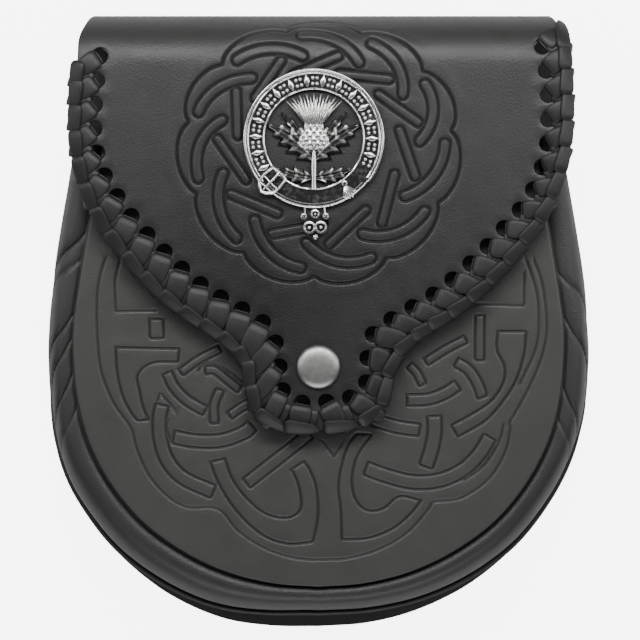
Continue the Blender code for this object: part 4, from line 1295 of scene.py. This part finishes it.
def make_soft_gusset():
    sections = gusset_sections()
    rings = [gusset_section(seam, wide, 1, RIGHT_CREASES) for seam, wide in sections]
    rings += [gusset_section(seam, wide, -1, LEFT_CREASES) for seam, wide in sections[-2::-1]]
    form = bmesh.new()
    press = form.verts.layers.float.new("press")
    grid = []
    for ring in rings:
        row = []
        for place, amount in ring:
            vert = form.verts.new(place)
            vert[press] = amount
            row.append(vert)
        grid.append(row)
    for ring, following in zip(grid, grid[1:]):
        for index in range(len(ring) - 1):
            form.faces.new((ring[index], following[index], following[index + 1], ring[index + 1]))
    mesh = bpy.data.meshes.new("soft_gusset")
    form.to_mesh(mesh)
    form.free()
    return finished(mesh, [("SOLIDIFY", {"thickness": GUSSET_WALL, "offset": 0.0})])


gusset_mesh = make_soft_gusset()
shade(gusset_mesh, 60.0)
add_piece("soft_gusset", gusset_mesh, gusset_finish, ["gusset"])

# %% [markdown]
# The lacing is one long flat lace, but what shows of it repeats: a strip that leaves each hole and
# slants forward, a narrower one half hidden between two strips, a short turn over the cut edge, and a
# leaf of the braid that covers where they meet. Each is modelled once. Geometry nodes lay it on every
# station of the flat pattern, and the result is bent with the leather.

# %% The lacing
LACE_WALL = 1.1 * MM
STRIP_REACH = 8.0 * MM
STRIP_WIDTH = 6.0 * MM
LEAF_WIDTH = 4.9 * MM
LEAF_TILT = math.radians(24)
LEAF_AHEAD = math.radians(6)
LEAF_REACH = 6.6 * MM
LEAF_LIMITS = (0.70, 1.06)
SEAT_PULL = 0.45        # how far a leaf is drawn towards the line between its neighbours
TURN_LEAN = 0.25
STRIP_LIMITS = (0.80, 1.30)
STRIP_GAP = 0.15 * MM
UNDERSIDE = (0.9, 1.0, -0.92)           # size of the strip on the underside, as shares
HALF_HIDDEN = (0.55, 0.78, 0.72)        # size of the strip between two others, as shares
HALF_HIDDEN_OUT = 1.7 * MM
LEAF_HEIGHT = BACK_WALL / 2 + 0.75 * MM
TURN_WIDTH = 7.4 * MM
STRIP_ROWS = [
    # out from the hole's middle and up from the middle of the leather in mm, width and thickness as shares
    (0.7, -0.9, 0.80, 0.7),
    (0.9, 0.2, 0.84, 0.8),
    (1.1, 1.1, 0.92, 0.9),
    (1.5, 1.62, 1.00, 1.0),
    (2.6, 1.85, 1.04, 1.0),
    (4.2, 1.90, 1.02, 1.0),
    (5.6, 1.85, 0.94, 1.0),
    (6.8, 1.68, 0.80, 1.0),
    (7.8, 1.42, 0.62, 0.9),
    (8.5, 1.0, 0.45, 0.7),
]
LEAF_ROWS = [
    # forward and up in mm, width and thickness as shares
    (-5.0, 0.42, 0.50, 0.5),
    (-4.75, 0.62, 0.78, 0.7),
    (-4.3, 0.76, 0.94, 0.9),
    (-3.5, 0.80, 1.02, 1.0),
    (-2.2, 0.70, 1.02, 1.0),
    (-0.4, 0.48, 0.98, 1.0),
    (1.4, 0.20, 0.90, 1.0),
    (3.0, -0.10, 0.78, 0.9),
    (4.4, -0.38, 0.60, 0.7),
    (5.6, -0.60, 0.36, 0.4),
]
TURN_ROWS = [
    # out from the cut edge and up in mm, width and thickness as shares
    (-2.2, 1.3, 0.80, 0.8),
    (-1.2, 1.5, 0.94, 1.0),
    (0.1, 1.4, 1.00, 1.0),
    (1.1, 0.9, 1.00, 1.0),
    (1.5, 0.0, 1.00, 1.0),
    (1.1, -0.9, 1.00, 1.0),
    (0.1, -1.5, 0.98, 1.0),
    (-1.4, -1.75, 0.85, 1.0),
    (-3.4, -1.75, 0.70, 0.9),
]


def lace_pattern(name, rows, width, dome):
    """One piece of lace as a closed mesh, with its across and length attributes for the finish."""
    scaled = [(out * MM, up * MM, wide, thick) for out, up, wide, thick in rows]
    rings = strip_rings(scaled, width, LACE_WALL, 12, dome)
    form = bmesh.new()
    loft(form, rings)
    mesh = form_mesh(name, form)
    places = [vert.co for vert in mesh.vertices]
    halves = [max(abs(point.x) for point in ring) for ring in rings]
    across = [place.x / halves[index // 12] for index, place in enumerate(places)]
    for key, values in (("across", across), ("length", [place.y for place in places])):
        mesh.attributes.new(key, "FLOAT", "POINT").data.foreach_set("value", values)
    shade(mesh, 180.0)
    return mesh


def facing(direction):
    """The turn about the upright axis that brings +Y to this direction."""
    return math.atan2(-direction.x, direction.y)


def limited(value, limits):
    return min(limits[1], max(limits[0], value))


def lacing_spots():
    """Where each strip, hidden strip, edge turn and leaf lies on the flat pattern."""
    strips = []
    leaves = []
    turns = []
    step = HOLE_PITCH / 8
    last = len(stations) - 1
    aheads = [min(place + LACE_SLANT / step, len(flap_edge) - 1.01) for _, place in stations]
    edges = [read_at(flap_edge, ahead) for ahead in aheads]
    for index, ((hole, _), ahead, edge) in enumerate(zip(stations, aheads, edges)):
        before = max(index - 1, 0)
        after = min(index + 1, last)
        run = way_along(flap_edge, ahead)
        outward = Vector((run.y, -run.x, 0))
        strip = edge - hole
        neighbour = stations[after][0] - stations[before][0]
        spacing = abs(strip.normalized().cross(neighbour).z) / (after - before)
        wide = limited((spacing - STRIP_GAP) / STRIP_WIDTH, STRIP_LIMITS)
        size = Vector((wide, strip.length / STRIP_REACH, 1.0))
        turn = Vector((0, 0, facing(strip)))
        strips.append((hole, turn, size))
        strips.append((hole, turn, size * Vector(UNDERSIDE)))
        if index < last:
            middle = hole.lerp(stations[index + 1][0], 0.5) + strip.normalized() * HALF_HIDDEN_OUT
            strips.append((middle, turn, size * Vector(HALF_HIDDEN)))
        seat = edge.lerp((edges[before] + edges[after]) / 2, SEAT_PULL)
        turns.append((seat, Vector((0, 0, facing(outward) - TURN_LEAN)), Vector((1, 1, 1))))
        chord = edges[after] - edges[before]
        long = limited(chord.length / (after - before) / LEAF_REACH, LEAF_LIMITS)
        lean = Matrix.Rotation(-LEAF_AHEAD, 3, "Z") @ chord.normalized()
        middle = seat - outward * 0.2 * MM + Vector((0, 0, LEAF_HEIGHT))
        leaves.append((middle, Vector((0, LEAF_TILT, facing(lean))), Vector((1, long, 1))))
    return strips, turns, leaves


def make_lacing():
    kinds = [
        # name, rows, width, doming, unevenness, seed
        ("strip", STRIP_ROWS, STRIP_WIDTH, 0.06, 0.03, 3),
        ("turn", TURN_ROWS, TURN_WIDTH, 0.15, 0.03, 5),
        ("leaf", LEAF_ROWS, LEAF_WIDTH, 0.22, 0.02, 8),
    ]
    meshes = []
    for spots, (name, rows, width, doming, unevenness, seed) in zip(lacing_spots(), kinds):
        pattern = lace_pattern(name, rows, width, doming)
        meshes.append(laid_out(name, pattern, spots, lace_finish, unevenness, seed))
    mesh = joined("flap_lacing", meshes)
    for vert in mesh.vertices:
        vert.co = bend(*vert.co)
    shade(mesh, 70.0)
    return add_piece("flap_lacing", mesh, lace_finish, ["edge_lacing"])


make_lacing()

# %% [markdown]
# The snap's cap is stamped from plated brass: a low dome with a rolled rim. It is turned here round its
# own axis, with the post and the socket under the flap, as one body. The hidden half of the snap keeps
# its solid.

# %% The snap
SNAP_CAP_RISE = 2.1 * MM
SNAP_POST_RADIUS = 1.9 * MM
SNAP_SOCKET_RADIUS = 5.2 * MM
SNAP_PLATE = 0.9 * MM
SNAP_PLAY = 0.3 * MM
TURNED_EYE = 0.02 * MM     # a turned form's middle stays open by this much
CAP_PROFILE = [
    # radius and height as shares
    (0.00, 1.000), (0.30, 0.985), (0.52, 0.940), (0.70, 0.850), (0.83, 0.710), (0.92, 0.530), (0.97, 0.360),
    (1.00, 0.180), (0.985, 0.040), (0.93, 0.000),
]


def metal(name, color, roughness, low, high, dark_tone):
    """Metal that is darker below one height and polished above another, with fine wear."""
    material, shader, place = start_material(name, metallic=1.0)
    height = place.node("ShaderNodeSeparateXYZ", {}, {0: place}, 2)
    polish = ((height - low) * (1.0 / (high - low))).clamp()
    wear = place.node("ShaderNodeTexNoise", {}, {"Vector": place, "Scale": 700.0, "Detail": 4.0})
    broad = place.node("ShaderNodeTexNoise", {}, {"Vector": place, "Scale": 120.0, "Detail": 2.0})
    tone = (polish + (wear - 0.5) * 0.30 + (broad - 0.5) * 0.15).clamp()
    dark = tuple(channel * dark_tone for channel in color)
    plug(shader, "Base Color", tone.mix((*dark, 1.0), (*color, 1.0)))
    plug(shader, "Roughness", (wear - 0.5) * 0.18 + (1.0 - tone) * 0.25 + roughness)
    bump = place.node("ShaderNodeBump", {}, {"Height": wear, "Strength": 0.12, "Distance": 0.0002})
    plug(shader, "Normal", bump)
    return material


snap_finish = metal("satin_nickel", (0.40, 0.40, 0.39), 0.42, 0.0, 0.001, 0.6)


def make_snap():
    top = FLAP_TOP + GAP
    under = FLAP_UNDER - GAP
    floor = POUCH_DEPTH + GAP
    head = SNAP_POST_RADIUS + SNAP_PLAY + SNAP_PLATE * 0.4
    roof = under - SNAP_PLATE
    profile = [(SNAP_CAP_RADIUS * wide, top + SNAP_CAP_RISE * up) for wide, up in CAP_PROFILE]
    profile[0] = (TURNED_EYE, profile[0][1])
    profile += [(SNAP_POST_RADIUS, top), (SNAP_POST_RADIUS, under), (SNAP_SOCKET_RADIUS, under),
                (SNAP_SOCKET_RADIUS, floor), (head, floor), (head, roof), (TURNED_EYE, roof)]
    form = bmesh.new()
    loft(form, turned_rings(profile, 72, (0.0, SNAP_HEIGHT)), looped=True)
    mesh = form_mesh("snap_button", form)
    shade(mesh, 50.0)
    return add_piece("snap_button", mesh, snap_finish, ["snap_cap"])


make_snap()
snap_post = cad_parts["snap_post"]
snap_post.data.materials.clear()
snap_post.data.materials.append(snap_finish)

# %% [markdown]
# The badge is one pewter casting: a strap bent into a ring, with its buckle at the lower left and its
# tip at the lower right, round a thistle. It is cast with raised detail, blackened, and polished on its
# high parts only. So each form is a low relief skin, and the finish reads its tone from the height
# above the leather.

# %% The badge's forms
BULB_ROWS = [
    # up and half width, as shares
    (0.00, 0.30), (0.07, 0.62), (0.20, 0.88), (0.36, 1.00), (0.52, 0.98), (0.68, 0.86), (0.84, 0.68),
    (1.00, 0.60),
]
BAND_REPEATS = 15
BAND_START = -28
BAND_SPAN = 242
BAND_MIDDLE = 18.95
QUATREFOIL = [(-0.72, -0.95), (0.72, -0.95), (-0.72, 0.95), (0.72, 0.95)]
SCALE_COURSES = 6
BULB_LOW = -3.8
BULB_TALL = 8.4
BULB_WIDE = 4.7
BULB_BASE = 0.55
BULB_RISE = 1.75
ARC_STEP = 3.0
TUFTS = [
    # bristles, length, spread to each side, height
    (17, 10.4, 40.0, 1.15),
    (12, 8.0, 30.0, 1.65),
]
DROP_RINGS = [
    # across, down, radius and thickness in mm
    (0.4, -24.5, 1.25, 0.36),
    (-3.3, -25.3, 0.80, 0.32),
    (3.9, -25.2, 0.80, 0.32),
    (-1.45, -28.9, 1.75, 0.42),
    (2.25, -28.8, 1.75, 0.42),
]


def at(x, y, up):
    """A point of the badge in mm from its middle and from the leather's face."""
    return Vector((BADGE_X + x * MM, BADGE_Y + y * MM, BADGE_BASE + up * MM))


def on_ring(radius, degrees, up):
    return at(radius * math.cos(math.radians(degrees)), radius * math.sin(math.radians(degrees)), up)


def arc(radius, start, end, up):
    count = max(2, round(abs(end - start) / ARC_STEP))
    return [on_ring(radius, start + (end - start) * index / count, up) for index in range(count + 1)]


def bar(form, path, radii, sides=8):
    sizes = [radius * MM for radius in radii] if isinstance(radii, list) else radii * MM
    loft(form, bar_rings(path, sizes, sides))


def level_ring(x, y, radius, up, steps):
    return [at(x + radius * math.cos(turn), y + radius * math.sin(turn), up) for turn in around(steps)]


def small_ring(form, x, y, radius, thickness, up, steps=18):
    loft(form, bar_rings(level_ring(x, y, radius, up, steps), thickness * MM, 7, True), looped=True)


def bead(form, x, y, up, radius):
    """A small ball, as a bar that swells and closes again."""
    turns = [math.pi * (step + 0.5) / 8 for step in range(8)]
    path = [at(x, y - radius * math.cos(turn), up) for turn in turns]
    bar(form, path, [radius * math.sin(turn) for turn in turns], 12)


def strap_ring(form):
    """The strap's dark floor, its double outer rim, its thin end at the bottom and its inner rim."""
    inner = (BADGE_RADIUS - BADGE_BAND) / MM
    outer = BADGE_RADIUS / MM
    section = [(inner + 0.1, 0.0), (inner + 0.1, 1.15), (outer - 0.5, 1.15), (outer - 0.5, 0.0)]
    profile = [(radius * MM, BADGE_BASE + up * MM) for radius, up in section]
    loft(form, turned_rings(profile, 96, (BADGE_X, BADGE_Y)), looped=True)
    bar(form, arc(outer - 0.48, -38, 222, 1.62), 0.50, 9)
    bar(form, arc(outer - 1.50, -36, 220, 1.45), 0.36, 8)
    bar(form, arc(outer - 0.80, -140, -38, 1.45), 0.42, 8)
    bar(form, arc(outer - 1.75, -136, -42, 1.35), 0.27, 7)
    path = arc(inner + 0.35, 0, 357, 1.40)
    loft(form, bar_rings(path, 0.36 * MM, 8, True), looped=True)


def bulb_width(share):
    """Half width of the bulb, as a share of its widest, at a share of its height."""
    return float(np.interp(share, *zip(*BULB_ROWS)))


def on_bulb(share, turn):
    """A point of the bulb, at a share of its height and a turn from its left edge to its right edge."""
    wide = bulb_width(share)
    return at(-BULB_WIDE * wide * math.cos(turn), BULB_LOW + BULB_TALL * share,
              BULB_BASE + BULB_RISE * wide * math.sin(turn))


def thistle_head(form):
    """The bulb, its collar and the bristles above it."""
    loft(form, [[on_bulb(row / 30, math.pi * step / 28) for step in range(29)] for row in range(31)])
    bar(form, [at(-3.0 + 6.0 * step / 8, 4.7 - 0.5 * math.sin(math.pi * step / 8), 1.75)
               for step in range(9)], 0.42)
    for count, length, spread, up in TUFTS:
        for index in range(count):
            side = 2 * index / (count - 1) - 1
            lean = math.radians(spread * side)
            reach = length * (1.0 - 0.10 * (index % 2))
            path = [at(2.6 * side + reach * share * math.sin(lean) * (0.75 + 0.25 * share),
                       4.6 + reach * share * math.cos(lean), up + 0.35 * math.sin(math.pi * share))
                    for share in (0.0, 0.2, 0.4, 0.6, 0.8, 1.0)]
            bar(form, path, [0.34, 0.42, 0.40, 0.32, 0.22, 0.08], 6)


def leaf(form, root, tip, half_width, teeth, bow):
    """A toothed leaf with a midrib and a vein to each tooth."""
    run = Vector((tip[0] - root[0], tip[1] - root[1]))
    side = Vector((-run.y, run.x)).normalized()
    rings = []
    steps = teeth * 9
    for step in range(steps + 1):
        share = step / steps
        tooth = (share * teeth) % 1.0 if step < steps else 1.0
        full = math.sin(math.pi * (0.06 + 0.94 * share) ** 0.8)
        wide = half_width * full * (0.50 + 0.62 * tooth ** 1.5) + 0.08
        middle = Vector(root) + run * share + side * bow * math.sin(math.pi * share)
        vein = 0.26 * math.exp(-((tooth - 0.72) / 0.12) ** 2)
        ring = []
        half = ((1.0, 0.05), (1.0, 0.95), (0.62, 1.28 + vein), (0.16, 1.12 + vein * 0.5))
        for across, up in [(-out, up) for out, up in half] + [(0.0, 1.62)] + list(half[::-1]):
            forward = run.normalized() * abs(across) * wide * 0.35
            spot = middle + side * across * wide + forward
            ring.append(at(spot.x, spot.y, up))
        rings.append(ring)
    loft(form, rings)


def buckle(form):
    """The strap's buckle: a frame with a pointed outer end, and its tongue."""
    turn = math.radians(-135)
    radial = Vector((math.cos(turn), math.sin(turn)))
    along = Vector((-radial.y, radial.x))
    middle = radial * (BADGE_POST_REACH / MM)

    def spot(out, side, up):
        place = middle + radial * out + along * side
        return at(place.x, place.y, up)

    corners = [(-3.6, -3.0), (-3.9, 0.0), (-3.6, 3.0), (0.0, 3.3), (2.6, 3.0), (4.1, 1.4), (4.9, 0.0),
               (4.1, -1.4), (2.6, -3.0), (0.0, -3.3)]
    path = [spot(out, side, 1.85) for out, side in corners]
    loft(form, bar_rings(path, 0.58 * MM, 8, True), looped=True)
    bar(form, [spot(-3.7, 0.0, 2.2), spot(-1.0, 0.0, 2.55), spot(2.0, 0.0, 2.5), spot(4.6, 0.0, 2.25)],
        [0.50, 0.46, 0.38, 0.24])
    bar(form, [spot(0.6, side, 1.75) for side in (-3.0, -1.5, 0.0, 1.5, 3.0)], 0.34)


def strap_tip(form):
    """The fluted tip of the strap, at the lower right."""
    for index in range(6):
        side = index / 2.5 - 1
        turn = math.radians(-62 + 34 * side)
        path = [at(10.2 + reach * math.cos(turn), -15.2 + reach * math.sin(turn),
                   1.3 + 0.5 * math.sin(reach / 4.6 * 3))
                for reach in (0.0, 1.2, 2.4, 3.6, 4.6 - 0.6 * abs(side))]
        bar(form, path, [0.30, 0.42, 0.50, 0.50, 0.24], 7)
    small_ring(form, 10.0, -14.6, 0.75, 0.32, 1.7, 12)


def drop(form):
    """The pendant end of the strap: five small rings and a ball on a dark backing."""
    rings = []
    for share in [step / 14 for step in range(15)]:
        half = 3.4 * math.sin(math.pi * (0.18 + 0.78 * share)) ** 0.8
        y = -21.6 - 10.6 * share
        corners = ((-half, 0.05), (-half, 0.75), (half, 0.75), (half, 0.05))
        rings.append([at(0.4 + side, y, up) for side, up in corners])
    loft(form, rings)
    for x, y, radius, thickness in DROP_RINGS:
        small_ring(form, x, y, radius, thickness, 1.35)
        bead(form, x, y, 1.15, radius * 0.38)
    bead(form, 0.5, -32.0, 1.35, 0.95)
    bar(form, [at(-2.9, -21.6, 1.4), at(-2.9, -24.6, 1.4)], 0.30)
    bar(form, [at(3.3, -21.6, 1.4), at(3.6, -24.5, 1.4)], 0.30)


def posts(form):
    """The two riveted posts that hold the badge to the flap."""
    foot = (FLAP_UNDER - GAP - BADGE_BASE) / MM
    for side in (-1, 1):
        x = side * BADGE_POST_REACH / MM
        for radius, low, high in ((1.2, foot - 0.5, 0.6), (2.4, foot - 1.0, foot)):
            loft(form, [level_ring(x, 0, radius, up, 16) for up in (low, high)])


def dome(form, x, y, radius, height):
    """A low round boss, in the pattern's own coordinates."""
    shares = ((1.0, -0.3), (1.0, 0.15), (0.86, 0.55), (0.55, 0.88), (0.15, 1.0))
    levels = [(radius * wide, height * up) for wide, up in shares]
    loft(form, [[Vector((x + reach * math.cos(turn), y + reach * math.sin(turn), rise)) * MM
                 for turn in around(10)] for reach, rise in levels])


def pointed(name, long, wide, thick):
    """A small pointed boss: a lozenge of the band or a scale of the bulb."""
    rows = [(-1.0, 0.0, 0.08, 0.4), (-0.55, 0.1, 0.55, 0.9), (0.0, 0.15, 1.0, 1.0), (0.55, 0.1, 0.55, 0.9),
            (1.0, 0.0, 0.08, 0.4)]
    form = bmesh.new()
    scaled = [(out * long / 2 * MM, up * MM, share, height) for out, up, share, height in rows]
    loft(form, strip_rings(scaled, wide * MM, thick * MM, 8, 0.2))
    return form_mesh(name, form)


def band_ornament():
    """Lozenges and fourfold bosses between the rims, from the tip of the strap round to the buckle."""
    form = bmesh.new()
    for x, y in QUATREFOIL:
        dome(form, x, y, 0.66, 0.62)
    bosses = form_mesh("bosses", form)
    lozenge = pointed("lozenge", 4.2, 2.1, 0.95)
    meshes = []
    for name, pattern, shift, up in (("bosses", bosses, 0.25, 1.12), ("lozenges", lozenge, 0.75, 1.40)):
        spots = []
        for index in range(BAND_REPEATS):
            degrees = BAND_START + BAND_SPAN * (index + shift) / BAND_REPEATS
            turn = Vector((0, 0, math.radians(degrees - 90)))
            spots.append((on_ring(BAND_MIDDLE, degrees, up), turn, Vector((1, 1, 1))))
        meshes.append(laid_out(name, pattern, spots, badge_finish))
    return meshes


def bulb_scales():
    """Overlapping scales in courses on the bulb, each leaning with its surface."""
    spots = []
    for course in range(SCALE_COURSES):
        share = 0.08 + 0.155 * course
        columns = 5 - course % 2
        for column in range(columns):
            turn = math.pi * (0.5 + (column - (columns - 1) / 2) * 0.19)
            lean = Vector((0.22, -(math.pi / 2 - turn) * 0.8, 0))
            spots.append((on_bulb(share, turn), lean, Vector((bulb_width(share), 1, 1))))
    return laid_out("scales", pointed("scale", 2.7, 2.3, 0.75), spots, badge_finish)


POLISH_LOW = BADGE_BASE + 1.20 * MM
POLISH_HIGH = BADGE_BASE + 1.62 * MM
badge_finish = metal("blackened_pewter", (0.92, 0.92, 0.90), 0.26, POLISH_LOW, POLISH_HIGH, 0.03)
print("badge forms are ready")

# %% The badge
def make_badge():
    form = bmesh.new()
    strap_ring(form)
    thistle_head(form)
    bar(form, [at(0.0, y, 1.2) for y in (-16.4, -13.0, -9.5, -6.5, -4.0)], [0.9, 0.8, 0.95, 0.8, 0.5], 8)
    for side in (-1, 1):
        leaf(form, (0.0, -6.7), (side * 15.2, 4.6), 4.7, 5, side * 1.2)
        leaf(form, (0.0, -12.8), (side * 12.6, -9.6), 3.1, 4, side * -0.6)
        leaf(form, (side * 1.2, -3.6), (side * 10.6, 8.6), 2.3, 4, side * 0.4)
    buckle(form)
    strap_tip(form)
    drop(form)
    posts(form)
    cast = form_mesh("cast_badge", form)
    mesh = joined("cast_badge", [cast, bulb_scales(), *band_ornament()])
    shade(mesh, 45.0)
    return add_piece("cast_badge", mesh, badge_finish, ["badge"])


make_badge()

# %% [markdown]
# A thin round bead of leather lies in the angle between the side wall and the back and hides the seam
# there.

# %% The piping
PIPING_RADIUS = 0.9 * MM


def bead_spot(seam, wide, sign):
    """A place on the bead's middle line, just outside the side wall's foot."""
    start = Vector((seam.x, seam.y, 0))
    reach = fuller(wide, sign) - start
    spot = start + reach * seam.z + reach.normalized() * (GUSSET_WALL / 2 + GAP + PIPING_RADIUS)
    return Vector((sign * spot.x, spot.y, back_rise(spot.y) + BACK_WALL + GAP + PIPING_RADIUS))


def make_seam_bead():
    sections = gusset_sections()[::4]
    path = [bead_spot(seam, wide, 1) for seam, wide in sections]
    path += [bead_spot(seam, wide, -1) for seam, wide in sections[-2::-1]]
    form = bmesh.new()
    loft(form, bar_rings(path, PIPING_RADIUS, 10))
    mesh = form_mesh("seam_bead", form)
    shade(mesh, 60.0)
    return add_piece("seam_bead", mesh, gusset_finish, ["piping"])


make_seam_bead()

# %% [markdown]
# On the back are two plain loops for the strap that the pouch is worn on. Each is a strip with softened
# edges, bent away from the back between its two ends, which are sewn down with waxed thread.

# %% The strap loops
KEEPER_X = 45.0 * MM
KEEPER_HALF_WIDTH = 9.0 * MM
KEEPER_LENGTH = 38.0 * MM
KEEPER_WALL = 1.8 * MM
KEEPER_TAB = 6.0 * MM
KEEPER_LEG = 4.0 * MM
KEEPER_MIDDLE = FOLD_Y - 23.5 * MM
STITCH_PITCH = 2.9 * MM
STITCH_ROWS = [
    # along and up in mm, width and thickness as shares
    (-0.95, -0.20, 0.40, 0.4),
    (-0.70, 0.00, 0.85, 0.9),
    (0.0, 0.08, 1.00, 1.0),
    (0.70, 0.00, 0.85, 0.9),
    (0.95, -0.20, 0.40, 0.4),
]
thread_finish = leather("waxed_thread", (0.020, 0.020, 0.020), 0.40, grain=0.3, drift=0.1)


def stitch_spots(x):
    """Places of the stitches round the three outer sides of both sewn ends, on the loop's outer face."""
    spots = []
    inset = 1.8 * MM
    half = KEEPER_HALF_WIDTH - inset
    height = BACK_LIFT - GAP - KEEPER_WALL
    for sign in (-1, 1):
        far = KEEPER_MIDDLE + sign * (KEEPER_LENGTH / 2 - inset)
        near = far - sign * (KEEPER_TAB - inset - 0.6 * MM)
        for column in range(round(2 * half / STITCH_PITCH)):
            place = Vector((x - half + STITCH_PITCH * (column + 0.5), far, height))
            spots.append((place, Vector((0, 0, math.pi / 2)), Vector((1, 1, 1))))
        for side in (-half, half):
            spots.append((Vector((x + side, (far + near) / 2, height)), Vector((0, 0, 0)), Vector((1, 1, 1))))
    return spots


def make_strap_loop(name, x, node):
    seat = BACK_LIFT - GAP - KEEPER_WALL / 2
    low = KEEPER_WALL / 2
    start = KEEPER_MIDDLE - KEEPER_LENGTH / 2
    end = KEEPER_MIDDLE + KEEPER_LENGTH / 2
    inner = KEEPER_TAB + KEEPER_LEG
    corners = [(start, seat), (start + KEEPER_TAB, seat), (start + inner, low), (end - inner, low),
               (end - KEEPER_TAB, seat), (end, seat)]
    middle = smooth_path([Vector((along, up, 0)) for along, up in corners], 6)
    rows = [(point.x, max(point.y, low), 1.0, 1.0) for point in middle]
    rings = strip_rings(rows, 2 * KEEPER_HALF_WIDTH, KEEPER_WALL, 16)
    form = bmesh.new()
    loft(form, [[point + Vector((x, 0, 0)) for point in ring] for ring in rings])
    strap = form_mesh(name, form)
    form = bmesh.new()
    scaled = [(out * MM, up * MM, wide, thick) for out, up, wide, thick in STITCH_ROWS]
    loft(form, strip_rings(scaled, 0.6 * MM, 0.5 * MM, 6))
    stitch = form_mesh("stitch", form)
    stitches = laid_out("stitches", stitch, stitch_spots(x), thread_finish, 0.06, 2)
    mesh = joined(name, [strap, stitches])
    shade(mesh, 50.0)
    return add_piece(name, mesh, shell_finish, [node])


make_strap_loop("strap_loop_left", -KEEPER_X, "belt_keeper_left")
make_strap_loop("strap_loop_right", KEEPER_X, "belt_keeper_right")
